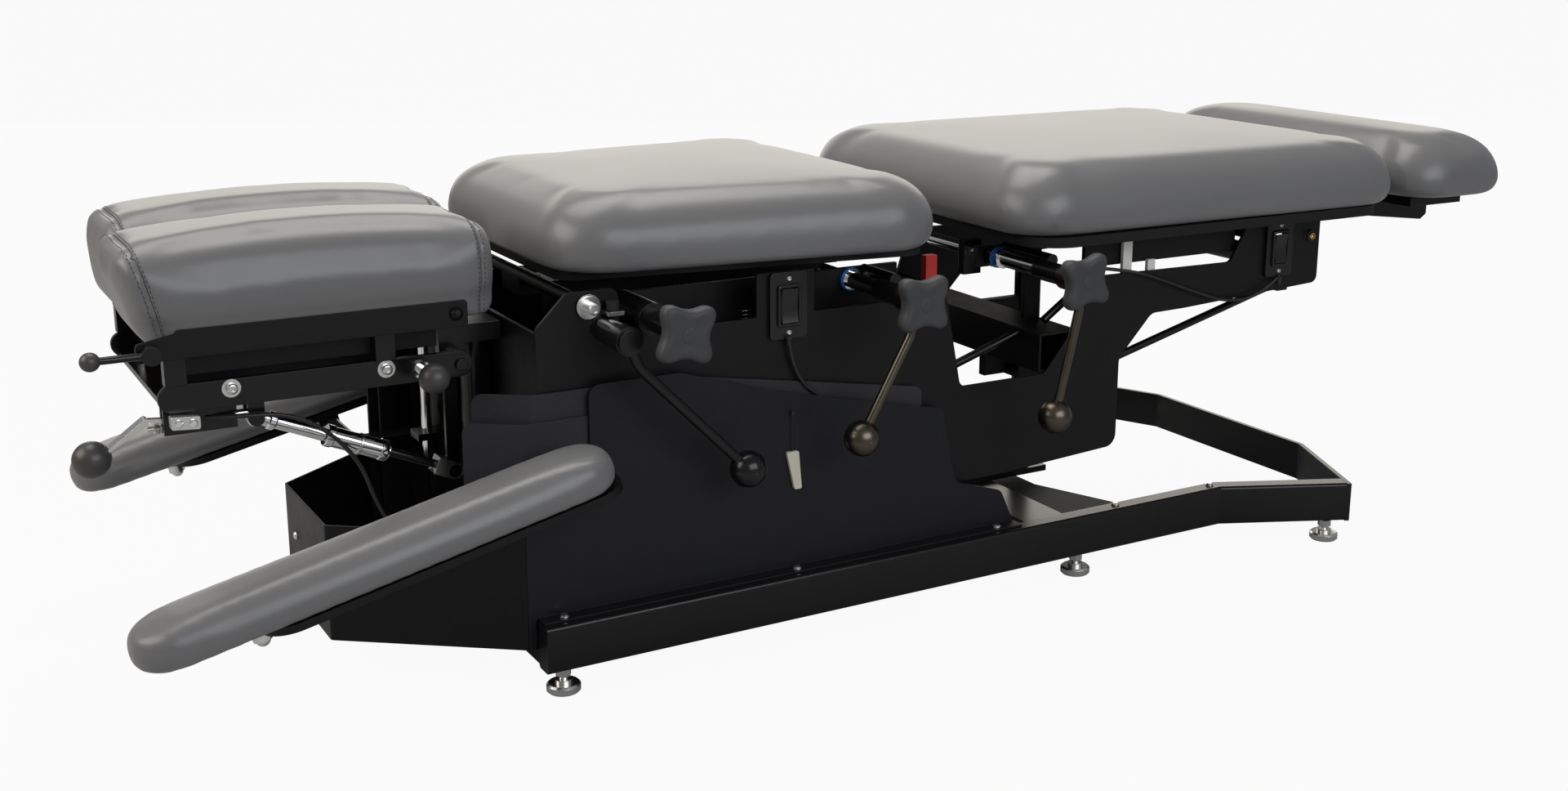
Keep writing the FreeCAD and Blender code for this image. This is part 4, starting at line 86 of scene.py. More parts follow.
# Materials: each has its own colour variation, sheen variation and small-scale relief
def material(name, colour, rough, metal=0.0, bump=0.0, scale=400.0, vary=0.08, coat=0.0,
             stretch=(1, 1, 1), rough_vary=0.08, spec=0.5, edge=0.0):
    mat = bpy.data.materials.new(name)
    mat.use_nodes = True
    tree = mat.node_tree
    shader = tree.nodes["Principled BSDF"]
    shader.inputs["Metallic"].default_value = metal
    shader.inputs["Specular IOR Level"].default_value = spec
    if coat:
        shader.inputs["Coat Weight"].default_value = coat
        shader.inputs["Coat Roughness"].default_value = 0.12
    place = tree.nodes.new("ShaderNodeTexCoord")
    stretcher = tree.nodes.new("ShaderNodeMapping")
    stretcher.inputs["Scale"].default_value = stretch
    tree.links.new(place.outputs["Object"], stretcher.inputs["Vector"])
    broad = tree.nodes.new("ShaderNodeTexNoise")
    broad.inputs["Scale"].default_value = scale * 0.03
    broad.inputs["Detail"].default_value = 4.0
    tree.links.new(stretcher.outputs["Vector"], broad.inputs["Vector"])
    ramp = tree.nodes.new("ShaderNodeMapRange")
    ramp.inputs["To Min"].default_value = 1.0 - vary
    ramp.inputs["To Max"].default_value = 1.0 + vary
    tree.links.new(broad.outputs["Fac"], ramp.inputs["Value"])
    tint = tree.nodes.new("ShaderNodeVectorMath")
    tint.operation = "SCALE"
    tint.inputs[0].default_value = colour
    tree.links.new(ramp.outputs["Result"], tint.inputs["Scale"])
    tree.links.new(tint.outputs["Vector"], shader.inputs["Base Color"])
    shine = tree.nodes.new("ShaderNodeMapRange")
    shine.inputs["To Min"].default_value = max(0.02, rough - rough_vary)
    shine.inputs["To Max"].default_value = min(1.0, rough + rough_vary)
    tree.links.new(broad.outputs["Fac"], shine.inputs["Value"])
    tree.links.new(shine.outputs["Result"], shader.inputs["Roughness"])
    fine = tree.nodes.new("ShaderNodeTexNoise")
    fine.inputs["Scale"].default_value = scale
    fine.inputs["Detail"].default_value = 3.0
    tree.links.new(stretcher.outputs["Vector"], fine.inputs["Vector"])
    relief = tree.nodes.new("ShaderNodeBump")
    relief.inputs["Strength"].default_value = bump
    relief.inputs["Distance"].default_value = 0.0006
    tree.links.new(fine.outputs["Fac"], relief.inputs["Height"])
    tree.links.new(relief.outputs["Normal"], shader.inputs["Normal"])
    # Pressed and painted edges catch a thin line of light
    if edge:
        rounded = tree.nodes.new("ShaderNodeBevel")
        rounded.samples = 4
        rounded.inputs["Radius"].default_value = edge
        tree.links.new(rounded.outputs["Normal"], relief.inputs["Normal"])
    return mat


# Grey vinyl: fine pebble grain and soft unevenness under a satin sheen
def vinyl(name, colour):
    mat = material(name, colour, 0.33, scale=120.0, vary=0.04, rough_vary=0.03)
    tree = mat.node_tree
    shader = tree.nodes["Principled BSDF"]
    place = next(n for n in tree.nodes if n.type == "TEX_COORD")
    grain = tree.nodes.new("ShaderNodeTexVoronoi")
    grain.inputs["Scale"].default_value = 900.0
    tree.links.new(place.outputs["Object"], grain.inputs["Vector"])
    relief = tree.nodes.new("ShaderNodeBump")
    relief.inputs["Strength"].default_value = 0.10
    relief.inputs["Distance"].default_value = 0.0004
    tree.links.new(grain.outputs["Distance"], relief.inputs["Height"])
    soft = tree.nodes.new("ShaderNodeTexNoise")
    soft.inputs["Scale"].default_value = 14.0
    tree.links.new(place.outputs["Object"], soft.inputs["Vector"])
    second = tree.nodes.new("ShaderNodeBump")
    second.inputs["Strength"].default_value = 0.05
    second.inputs["Distance"].default_value = 0.001
    tree.links.new(soft.outputs["Fac"], second.inputs["Height"])
    tree.links.new(relief.outputs["Normal"], second.inputs["Normal"])
    tree.links.new(second.outputs["Normal"], shader.inputs["Normal"])
    shader.inputs["Sheen Weight"].default_value = 0.08
    return mat


powder = material("powder_black", (0.0042, 0.0040, 0.0048), 0.40, bump=0.40, scale=1500.0, vary=0.15,
                  spec=0.26, edge=0.0012)
cover_mat = material("cover_black", (0.0085, 0.0085, 0.0112), 0.44, bump=0.45, scale=1400.0, vary=0.15,
                     spec=0.26, edge=0.0012)
satin = material("satin_black", (0.0050, 0.0042, 0.0042), 0.24, bump=0.05, scale=300.0, vary=0.12, spec=0.42,
                 edge=0.0012)
skirt_mat = material("skirt_black", (0.026, 0.0255, 0.030), 0.55, bump=0.9, scale=1100.0, vary=0.15, spec=0.3,
                     edge=0.0008)
zinc = material("zinc", (0.76, 0.75, 0.72), 0.27, metal=1.0, bump=0.08, scale=700.0, vary=0.08, edge=0.0005)
chrome = material("chrome", (0.88, 0.88, 0.88), 0.10, metal=1.0, bump=0.02, scale=200.0, vary=0.03,
                  rough_vary=0.03)
grey = vinyl("grey_vinyl", (0.152, 0.150, 0.152))
board = material("board_black", (0.008, 0.008, 0.008), 0.6, bump=0.3, scale=300.0, vary=0.2,
                 stretch=(0.1, 1, 1), spec=0.25)
phenolic = material("ball_phenolic", (0.052, 0.048, 0.047), 0.38, bump=0.10, scale=600.0, vary=0.14)
plastic = material("black_plastic", (0.0065, 0.0065, 0.007), 0.30, bump=0.30, scale=900.0, vary=0.12,
                   edge=0.0006)
knob_mat = material("knob_plastic", (0.040, 0.040, 0.042), 0.55, bump=0.22, scale=1400.0, vary=0.10)
lever_steel = material("lever_steel", (0.11, 0.095, 0.075), 0.30, metal=1.0, bump=0.06, scale=500.0,
                       vary=0.15)
rubber = material("rubber_black", (0.012, 0.012, 0.012), 0.45, bump=0.12, scale=500.0, vary=0.15)
nylon = material("white_nylon", (0.78, 0.77, 0.72), 0.45, bump=0.10, scale=500.0, vary=0.05)
wedge_mat = material("pale_hardwood", (0.62, 0.58, 0.48), 0.55, bump=0.15, scale=260.0, vary=0.12,
                     stretch=(1, 1, 0.12))
red = material("red_plastic", (0.42, 0.02, 0.02), 0.35, bump=0.05, scale=400.0, vary=0.08)
blue = material("blue_nylon", (0.03, 0.16, 0.50), 0.35, bump=0.05, scale=400.0, vary=0.08)
brass = material("brass", (0.72, 0.52, 0.24), 0.25, metal=1.0, bump=0.05, scale=500.0, vary=0.06)
metal_grey = material("aluminium", (0.50, 0.50, 0.51), 0.34, metal=1.0, bump=0.1, scale=500.0, vary=0.06)
stitch_mat = material("stitching", (0.060, 0.057, 0.056), 0.8, bump=0.3, scale=2500.0, vary=0.15)
# Near-black strand colour for the bolster seam grooves: painted shade in the crease
painted_seam_shade = material("seam_shade", (0.020, 0.019, 0.019), 0.7, bump=0.2, scale=900.0, vary=0.15)

SLOT = {
    "powder_black": powder, "satin_black": satin, "skirt_black": skirt_mat, "zinc": zinc, "chrome": chrome,
    "grey_vinyl": grey, "board_black": board, "ball_phenolic": phenolic, "black_plastic": plastic,
    "rubber_black": rubber, "white_nylon": nylon, "red_plastic": red, "aluminium": metal_grey,
}
for entry in frame["record"]["subparts"]:
    mesh = nodes[entry["node"]].data
    mesh.materials.clear()
    mesh.materials.append(SLOT[entry["material_slot"]])


# Cords: one smooth spline through each route of the part's source
def cord(name, points, body, node, diameter):
    data = bpy.data.curves.new(name, "CURVE")
    data.dimensions = "3D"
    spline = data.splines.new("NURBS")
    spline.points.add(len(points) - 1)
    for point, place in zip(spline.points, points):
        point.co = (*at(*place), 1)
    spline.order_u = 3
    spline.use_endpoint_u = True
    data.resolution_u = 12
    data.bevel_depth = diameter * 0.5
    data.bevel_resolution = 5
    data.use_fill_caps = True
    data.materials.append(rubber)
    obj = bpy.data.objects.new(name, data)
    collection.objects.link(obj)
    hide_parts(node)
    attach(obj, body)
    return obj


# Places of a route on the near side, from shares of its reach along and down
def route(shares, ys, head_x, foot_x, top_z, low_z):
    return [(head_x + (foot_x - head_x) * a, -y, top_z - (top_z - low_z) * b)
            for (a, b), y in zip(shares, ys)]


# The cord's centre line is evaluated into a mesh without its bevel; nothing reads that mesh
def declare(obj):
    flat = obj.data.copy()
    flat.bevel_depth = 0
    probe = bpy.data.objects.new("probe", flat)
    collection.objects.link(probe)
    bpy.context.view_layer.update()
    line = bpy.data.meshes.new_from_object(probe)
    bpy.data.objects.remove(probe)


CABLE = 0.0044
CABLE_Y = 204.6
head_switch_route = route(((0.0, 0.0), (0.032, 0.433), (0.381, 0.836), (0.714, 0.936), (1.0, 1.0)),
                          [CABLE_Y] * 5, 302, 428, 340.8, 246.5)
foot_switch_route = route(((0.0, 0.0), (0.14, 0.08), (0.308, 0.353), (0.5, 0.706), (0.682, 1.0),
                           (0.874, 0.983), (1.0, 0.593)), [190] + [CABLE_Y] * 6, 750, 1036, 373, 313.5)
release_route = route(((0.0, 0.0), (0.126, -0.003), (0.318, 0.019), (0.485, 0.182), (0.611, 0.435),
                       (0.661, 0.701), (0.728, 0.916), (0.854, 1.0), (0.962, 0.916), (1.0, 0.747)),
                      [108, 121.5, 121.5, 119, 117, 117, 116, 114, 110, 107], -292, -53, 311, 157)
for label, way, body, node in (("head_switch_cable", head_switch_route, "lift", "control_cables"),
                               ("foot_switch_cable", foot_switch_route, "lift", "control_cables"),
                               ("release_cable_sleeve", release_route, "head_tilt", "release_cable")):
    declare(cord(label, way, body, node, CABLE))


def smooth(obj, angle=40):
    for face in obj.data.polygons:
        face.use_smooth = True
    with bpy.context.temp_override(object=obj, active_object=obj, selected_objects=[obj],
                                   selected_editable_objects=[obj]):
        bpy.ops.object.shade_smooth_by_angle(angle=math.radians(angle))


def new_object(name, verts, faces, mat):
    mesh = bpy.data.meshes.new(name)
    mesh.from_pydata([tuple(v) for v in verts], [], faces)
    mesh.materials.append(mat)
    obj = bpy.data.objects.new(name, mesh)
    collection.objects.link(obj)
    build = bmesh.new()
    build.from_mesh(mesh)
    bmesh.ops.recalc_face_normals(build, faces=build.faces)
    build.to_mesh(mesh)
    build.free()
    for face in mesh.polygons:
        face.use_smooth = True
    return obj


# Four-sided faces between rings of equal count; closed joins the last ring to the first
def bands(rings, count, closed=False, start=0):
    faces = []
    for r in range(rings if closed else rings - 1):
        low = start + r * count
        top = start + (r + 1) % rings * count
        for i in range(count):
            after = (i + 1) % count
            faces.append((low + i, low + after, top + after, top + i))
    return faces


# Points on a circle round a place, in the plane of two unit vectors
def circle(place, side, top, radius, sides, unit=1):
    angles = [2 * math.pi * k / sides for k in range(sides)]
    return [place + (side * math.cos(a) + top * math.sin(a)) * radius * unit for a in angles]


# Arc points that round one corner of a path
def corner_arc(before, c, after, r, steps):
    u, w = (before - c).normalized(), (after - c).normalized()
    turn = u.angle(w) / 2
    r = min(r, 0.48 * min((before - c).length, (after - c).length) * math.tan(turn))
    centre = c + (u + w).normalized() * (r / math.sin(turn))
    a = c + u * (r / math.tan(turn)) - centre
    b = c + w * (r / math.tan(turn)) - centre
    start = math.atan2(a.y, a.x)
    sweep = (math.atan2(b.y, b.x) - start + math.pi) % (2 * math.pi) - math.pi
    return [centre + Vector((math.cos(start + sweep * k / steps), math.sin(start + sweep * k / steps))) * r
            for k in range(steps + 1)]


# A closed path with rounded corners and the same number of points whatever its size
def rounded(points, radii, steps=12, runs=16):
    marks = [Vector(p) for p in points]
    count = len(marks)
    arcs = [corner_arc(marks[i - 1], marks[i], marks[(i + 1) % count], radii[i], steps) for i in range(count)]
    ring = []
    for i, arc in enumerate(arcs):
        ring.extend(arc)
        after = arcs[(i + 1) % count][0]
        ring.extend(arc[-1].lerp(after, k / runs) for k in range(1, runs))
    return ring


# Closed mesh through rings of equal length, each end closed by rings that shrink to its middle
def stacked(name, rings, mat, rise_low=Vector(), rise_top=Vector(), steps=9):
    def cap(ring, rise):
        middle = sum(ring, Vector()) / len(ring)
        out = [[p.lerp(middle, k / steps) + rise * (1 - (1 - k / steps) ** 2) for p in ring]
               for k in range(1, steps)]
        return out, middle + rise
    low, low_tip = cap(rings[0], rise_low)
    top, top_tip = cap(rings[-1], rise_top)
    every = list(reversed(low)) + rings + top
    count = len(rings[0])
    verts = [p for ring in every for p in ring] + [low_tip, top_tip]
    faces = bands(len(every), count)
    last = (len(every) - 1) * count
    for i in range(count):
        faces.append(((i + 1) % count, i, len(verts) - 2))
        faces.append((last + i, last + (i + 1) % count, len(verts) - 1))
    return new_object(name, verts, faces, mat)


# The evaluated meshes become the objects' own meshes
def settle(objects):
    bpy.context.view_layer.update()
    graph = bpy.context.evaluated_depsgraph_get()
    shapes = [bpy.data.meshes.new_from_object(obj.evaluated_get(graph)) for obj in objects]
    for obj, mesh in zip(objects, shapes):
        obj.modifiers.clear()
        obj.data = mesh


cushions = []


def upholster(obj, node, body, voxel, cap, held):
    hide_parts(node)
    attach(obj, body)
    cushions.append((obj, voxel, cap, held))
    return obj


# Cushions start this much smaller all round, because the air pressure fills them out
START_GAP = 2.5
CUSHION_LOW_Z = 429.3
CURVE_STEPS = 11


# A cushion cover: its sides round over into the top along one curve
def cushion(node, body, head_x, foot_x, head_half, foot_half, middle_y, corner, over, power, tuck, wide_z,
            top_z, crown):
    rows = [(tuck, CUSHION_LOW_Z), (tuck * 0.4, CUSHION_LOW_Z + (wide_z - CUSHION_LOW_Z) * 0.35), (0, wide_z)]
    for k in range(1, CURVE_STEPS + 1):
        t = math.sin(math.pi / 2 * k / CURVE_STEPS)
        drawn_in = over * (1 - (1 - t ** power) ** (1 / power))
        rows.append((drawn_in, wide_z + (top_z - wide_z) * t))
    rings = []
    for inset, z in rows:
        inset = inset + START_GAP
        corners = [(head_x + inset, middle_y - head_half + inset),
                   (foot_x - inset, middle_y - foot_half + inset),
                   (foot_x - inset, middle_y + foot_half - inset),
                   (head_x + inset, middle_y + head_half - inset)]
        ring = rounded(corners, [max(corner - inset * 0.45, 8)] * 4)
        rings.append([at(p.x, p.y, z - START_GAP * (z > wide_z)) for p in ring])
    obj = stacked(node + "_vinyl", rings, grey, rise_top=Vector((0, 0, crown * MM)))
    return upholster(obj, node, body, 0.0058, 0.0045, lambda p: p.z < 0.4325)


cushion("chest_cushion", "chest_top", 37, 503, 204, 258, 0, 72, 56, 2.4, 9, 448, 507.5, 4)
cushion("pelvic_cushion", "pelvic", 577, 1214, 268, 280, 6, 72, 54, 2.2, 14, 444, 510.5, 3)
cushion("foot_cushion", "foot", 1217, 1410, 272, 276, 0, 60, 55, 2.1, 10, 445, 510.5, 2)

# Head bolsters: a long crowned form with ends that bulge past the sewn seams, leaning out at the head end
HEAD_SEAM, FOOT_SEAM = -342.0, -24.0
BOLSTER_CROWN = 11.0
BOLSTER_START = 2.2
LEAN_Z = 440
LEAN = {-1: 0.23, 1: 0.08}
ALONG = {-1: 0.0, 1: 11.0}


def bolster_ring(side, inset, x, share=1.0):
    middle = (HEAD_SEAM + FOOT_SEAM) / 2
    rise = BOLSTER_CROWN * max(0.0, 1 - ((x - middle) / (middle - HEAD_SEAM)) ** 2)
    g, w, f = 6.2 + inset, 159.8 - inset, 152.8 - inset
    low, high = 388.3 + inset, 488 + rise - inset
    points = [(g, low), (f, low), (f + 0.3, 413), (w, 426), (w, high), (g, high)]
    radii = [max(r - inset * 0.7, 1.5) for r in (6, 5, 5, 16, 52, 34)]
    centre = Vector(((g + w) / 2, (low + high) / 2))
    ring = rounded(points, radii, 12, 10)
    reach = max(0.0, (middle - x) / (middle - HEAD_SEAM)) ** 2
    out = []
    for p in ring:
        y, z = centre.x + (p.x - centre.x) * share, centre.y + (p.y - centre.y) * share
        out.append(at(x + ALONG[side] - LEAN[side] * (z - LEAN_Z) * reach, side * y, z))
    return out


def bolster(side, node):
    ends = [(0.76, 16), (0.86, 14.8), (0.92, 12.5), (0.965, 8.8), (0.99, 4)]
    rings = [bolster_ring(side, BOLSTER_START, HEAD_SEAM - out, share) for share, out in ends]
    for k in range(19):
        rings.append(bolster_ring(side, BOLSTER_START, HEAD_SEAM + (FOOT_SEAM - HEAD_SEAM) * k / 18))
    rings += [bolster_ring(side, BOLSTER_START, FOOT_SEAM + out, share) for share, out in reversed(ends)]
    obj = stacked(node + "_vinyl", rings, grey)
    return upholster(obj, node, "head_tilt", 0.0044, 0.004, lambda p: p.z < 0.3925)


bolsters = {side: bolster(side, "head_cushion_" + where) for side, where in SIDES}

# Arm pads: long rounded pads on the slope of their plates
ARM_SLOPE = math.asin(0.2285)
ARM_OUTER = (-402.0, 151.6)
ARM_LENGTH = 474.0
ARM_HALF = 42
ARM_Y = 268
ARM_START = 1.0


def arm_point(u, y, w):
    return at(ARM_OUTER[0] + u * math.cos(ARM_SLOPE) - w * math.sin(ARM_SLOPE), y,
              ARM_OUTER[1] + u * math.sin(ARM_SLOPE) + w * math.cos(ARM_SLOPE))


def arm_height(p):
    dx = (p.x - SHIFT) / MM - ARM_OUTER[0]
    return (p.z / MM - ARM_OUTER[1]) * math.cos(ARM_SLOPE) - dx * math.sin(ARM_SLOPE)


def arm_pad(side, node, body, shift):
    profile = [(9, -20.9), (5, -20), (2, -16.5), (0.5, -11), (0, -3), (0.6, 4), (2.8, 10), (6.5, 14.5),
               (12, 17.6)]
    rings = []
    for inset, w in profile:
        inset = inset - ARM_START
        corners = [(inset, inset - ARM_HALF), (ARM_LENGTH - inset, inset - ARM_HALF),
                   (ARM_LENGTH - inset, ARM_HALF - inset), (inset, ARM_HALF - inset)]
        ring = rounded(corners, [40.5 - inset * 0.95] * 4, 14, 14)
        rings.append([arm_point(p.x + shift, side * ARM_Y + p.y, w) for p in ring])
    rise = arm_point(0, 0, 2) - arm_point(0, 0, 0)
    obj = stacked(node + "_vinyl", rings, grey, rise_top=rise)
    return upholster(obj, node, body, 0.0046, 0.003, lambda p: arm_height(p) < -17)


arm_pad(-1, "armrest_pad_near", "armrest_near", 0)
arm_pad(1, "armrest_pad_far", "armrest_far", 31)


covers = [obj for obj, voxel, cap, held in cushions]
PRESSURE = 4.0
FILL_FRAMES = 20


# Air pressure fills each vinyl cover over its held underside, and no vertex moves further than its cap
def fill_covers():
    starts = []
    for obj, voxel, cap, held in cushions:
        remesh = obj.modifiers.new("remesh", "REMESH")
        remesh.mode = "VOXEL"
        remesh.voxel_size = voxel
    settle(covers)
    for obj, voxel, cap, held in cushions:
        group = obj.vertex_groups.new(name="held")
        group.add([v.index for v in obj.data.vertices if held(v.co)], 1.0, "REPLACE")
        starts.append([v.co.copy() for v in obj.data.vertices])
        cloth = obj.modifiers.new("cloth", "CLOTH")
        cloth.settings.quality = 4
        cloth.settings.use_pressure = True
        cloth.settings.uniform_pressure_force = PRESSURE
        cloth.settings.effector_weights.gravity = 0.0
        cloth.settings.vertex_group_mass = "held"
        cloth.point_cache.frame_start = 1
        cloth.point_cache.frame_end = FILL_FRAMES
    for step in range(1, FILL_FRAMES + 1):
        bpy.context.scene.frame_set(step)
    settle(covers)
    for (obj, voxel, cap, held), start in zip(cushions, starts):
        for vert, before in zip(obj.data.vertices, start):
            move = vert.co - before
            if move.length > cap:
                vert.co = before + move * (cap / move.length)
    bpy.context.scene.frame_set(1)


fill_covers()
for obj in covers:
    even = obj.modifiers.new("even", "SMOOTH")
    even.factor = 0.5
    even.iterations = 14
    finer = obj.modifiers.new("finer", "SUBSURF")
    finer.levels = 1
    finer.render_levels = 1
settle(covers)
for obj in covers:
    obj.data.materials.clear()
    obj.data.materials.append(grey)
    for face in obj.data.polygons:
        face.use_smooth = True


# A thin round strand along a closed or open path
def strand(name, path, radius, mat, body, closed=True, sides=6):
    verts = []
    count = len(path)
    for i, p in enumerate(path):
        d = (path[(i + 1) % count] - path[i - 1]).normalized()
        side = d.cross(Vector((1, 0, 0)))
        side = side.normalized() if side.length > 0.2 else d.cross(Vector((0, 1, 0))).normalized()
        verts.extend(circle(p, side, d.cross(side), radius, sides))
    obj = new_object(name, verts, bands(count, sides, closed), mat)
    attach(obj, body)


# Rows of small raised stitches along a path; each is a few rings, as shares of its length and width
STITCH_RINGS = ((0, 0.4), (0.2, 1), (0.8, 1), (1, 0.4))
STITCH_SIDES = 5


def stitches(name, path, body, length=0.0034, gap=0.0016, width=0.00045):
    verts, faces = [], []
    run, want = 0.0, 0.0
    for a, b in zip(path, path[1:]):
        seg = (b - a).length
        while want < run + seg:
            p = a.lerp(b, (want - run) / seg)
            d = (b - a).normalized()
            side = Vector((1, 0, 0)) if abs(d.x) < 0.5 else Vector((0, 1, 0))
            top = d.cross(side).normalized()
            side = top.cross(d).normalized()
            faces.extend(bands(len(STITCH_RINGS), STITCH_SIDES, start=len(verts)))
            for along, share in STITCH_RINGS:
                verts.extend(circle(p + d * (along * length), side, top, width, STITCH_SIDES, share))
            want += length + gap
        run += seg
    obj = new_object(name, verts, faces, stitch_mat)
    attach(obj, body)


# Sewn seams of the bolsters: the cover is drawn in at the seam, with a row of stitches on each side; a dark
# strand laid in each seam groove is painted shade
def on_cover(tree, points, lift):
    out = []
    for p in points:
        place, normal = tree.find_nearest(p)[:2]
        out.append(place + normal * lift)
    return out


SEAM_DEPTH = 0.0013
SEAM_REACH = 2.2
STITCH_OFFSET = 3.6
for side, label in SIDES:
    obj = bolsters[side]
    outward = [vert.normal.copy() for vert in obj.data.vertices]
    for vert, normal in zip(obj.data.vertices, outward):
        x = (vert.co.x - SHIFT) / MM - ALONG[side]
        head = x + LEAN[side] * (vert.co.z / MM - LEAN_Z)
        off = min(abs(head - HEAD_SEAM), abs(x - FOOT_SEAM))
        if vert.co.z > 0.391:
            vert.co -= normal * SEAM_DEPTH * math.exp(-(off / SEAM_REACH) ** 2)
    tree = BVHTree.FromPolygons([v.co for v in obj.data.vertices], [f.vertices for f in obj.data.polygons])
    for end, seam in (("head", HEAD_SEAM), ("foot", FOOT_SEAM)):
        ring = on_cover(tree, bolster_ring(side, 0.0, seam), -0.0002)
        # A dark strand just under the cover in the seam groove: painted shade in the crease
        strand("bolster_seam_%s_%s" % (label, end), ring, 0.0005, painted_seam_shade, "head_tilt")
        for k, offset in enumerate((-STITCH_OFFSET, STITCH_OFFSET)):
            row = on_cover(tree, bolster_ring(side, 0.0, seam + offset), 0.00005)
            stitches("bolster_stitch_%s_%s_%d" % (label, end, k), row + row[:1], "head_tilt")


# A turned form around an axis from (distance along, radius) pairs, with an optional hexagon recess
SOCKET_TAPER = 0.96
TURNED_EDGE = 35


def turned_form(name, centre, axis, profile, mat, body, sides=28, hexagon=0.0, depth=0.0):
    axis = Vector(axis).normalized()
    side = axis.orthogonal().normalized()
    top = axis.cross(side)
    rings = []
    for along, radius in profile:
        rings.append(circle(centre + axis * along * MM, side, top, radius, sides, MM))
    if hexagon:
        last = profile[-1][0]
        for along, grow in ((last, 1.0), (last - depth, SOCKET_TAPER)):
            ring = []
            for k in range(sides):
                angle = 2 * math.pi * k / sides
                reach = hexagon * grow / math.cos((angle + math.pi / 6) % (math.pi / 3) - math.pi / 6)
                out = side * math.cos(angle) + top * math.sin(angle)
                ring.append(centre + axis * along * MM + out * reach * MM)
            rings.append(ring)
    obj = stacked(name, rings, mat, steps=2)
    smooth(obj, TURNED_EDGE)
    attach(obj, body)


# A hollow collar turned around an axis: (distance along, radius) pairs outside, one radius inside
def collar(name, centre, axis, profile, inside, mat, body, sides=32):
    axis = Vector(axis).normalized()
    side = axis.orthogonal().normalized()
    top = axis.cross(side)
    pairs = profile + [(profile[-1][0], inside), (profile[0][0], inside)]
    verts = []
    for along, radius in pairs:
        verts.extend(circle(centre + axis * along * MM, side, top, radius, sides, MM))
    obj = new_object(name, verts, bands(len(pairs), sides, closed=True), mat)
    smooth(obj, TURNED_EDGE)
    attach(obj, body)


# Button-head screws with a hexagon socket
def button(name, centre, axis, radius, mat, body):
    dome = [(-0.4, radius * 0.96), (0.3, radius), (0.9, radius * 0.97), (1.6, radius * 0.85),
            (2.1, radius * 0.66)]
    turned_form(name, centre, axis, dome, mat, body, hexagon=radius * 0.42, depth=1.3)


for label, x in (("head", -270.0), ("foot", -119.5)):
    for side, where in SIDES:
        button("tilt_bar_screw_%s_%s" % (where, label), at(x, side * 134.6, 343), (0, side, 0), 5.4, zinc,
               "head_tilt")
for side, where in SIDES:
    turned_form("pivot_bolt_end_%s" % where, at(70, side * 215.9, 400), (0, side, 0),
                [(-1, 6.2), (1.2, 6.2), (2.0, 5.6), (2.2, 4.2)], zinc, "lift", hexagon=3.0, depth=1.2)

# Switch plates: a raised frame round each rocker, two screws and a grommet where the cable enters
SWITCHES = (("head", 303.0, 377.0, 302.0, 342), ("foot", 1036.0, 375.0, 1036.0, 336.5))
for label, x, z, cable_x, cable_z in SWITCHES:
    face = -203.0
    rings = []
    for half_w, half_h, y, r in ((10.9, 19.9, face + 0.3, 1.5), (10.9, 19.9, face - 2.6, 1.5),
                                 (11.6, 20.6, face - 3.4, 2.0), (13.4, 22.4, face - 3.4, 3.0),
                                 (14.4, 23.4, face - 2.6, 3.6), (14.8, 23.8, face + 0.3, 4.0)):
        ring = rounded([(x - half_w, z - half_h), (x + half_w, z - half_h), (x + half_w, z + half_h),
                        (x - half_w, z + half_h)], [r] * 4, 5, 4)
        rings.append([at(p.x, y, p.y) for p in ring])
    verts = [p for ring in rings for p in ring]
    faces = bands(len(rings), len(rings[0]), closed=True)
    obj = new_object("switch_frame_%s" % label, verts, faces, plastic)
    smooth(obj, TURNED_EDGE)
    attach(obj, "lift")
    for where, dz in (("top", 30.0), ("low", -30.0)):
        button("switch_screw_%s_%s" % (label, where), at(x, face, z + dz), (0, -1, 0), 3.3, zinc, "lift")
    turned_form("cable_grommet_%s" % label, at(cable_x, -CABLE_Y, cable_z), (0, 0, -1),
                [(-1, 4.2), (2, 4.2), (3, 3.6), (9, 2.9), (9.4, 2.4)], rubber, "lift", sides=16)

# Jack: black ring nut with a brass and chrome centre
turned_form("jack_ring_nut", at(1094, -200, 386), (0, -1, 0),
            [(-0.2, 8.2), (1.2, 8.2), (2.2, 7.6), (2.4, 5.4), (1.4, 5.0)], plastic, "lift")
turned_form("jack_collar", at(1094, -200.4, 386), (0, -1, 0),
            [(0, 4.8), (2.6, 4.8), (3.4, 4.2), (3.5, 3.0), (1.5, 2.6)], brass, "lift", sides=24)


# Star knobs: four round lobes with rolled edges
KNOB_REACH = 30.4
LOBE = 6.4
KNOB_POINTS = 96


def star_knob(name, node, x, z, turn):
    rings = []
    steps = [(-291.8, 5.2), (-292.8, 2.6), (-295, 0.7), (-298, 0.0), (-303, 0.0), (-306.5, 0.8), (-308.8, 2.8),
             (-309.9, 5.6), (-310.2, 8.6)]
    for y, inset in steps:
        ring = []
        for k in range(KNOB_POINTS):
            angle = 2 * math.pi * k / KNOB_POINTS
            lobe = angle - math.radians(turn)
            reach = KNOB_REACH + LOBE * math.cos(4 * lobe) + math.cos(8 * lobe) - inset
            ring.append(at(x + reach * math.cos(angle), y, z + reach * math.sin(angle)))
        rings.append(ring)
    obj = stacked(name, rings, knob_mat, rise_top=Vector((0, 0.0007, 0)))
    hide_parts(node)
    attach(obj, node)
    turned_form(name + "_boss", at(x, -286, z), (0, -1, 0), [(0, 12.6), (0.8, 13.6), (5, 14.2), (8, 15.5)],
                knob_mat, node)
    turned_form(name + "_plug", at(x, -309.4, z), (0, -1, 0), [(0, 8.4), (0.5, 8.2), (0.8, 7.4), (0.6, 3.0)],
                knob_mat, node)


for i, (x, z, turn) in enumerate(((131, 385, 38), (413, 386, 45), (634, 388, 52)), 1):
    star_knob("four_lobe_knob_%d" % i, "star_knob_%d" % i, x, z, turn)

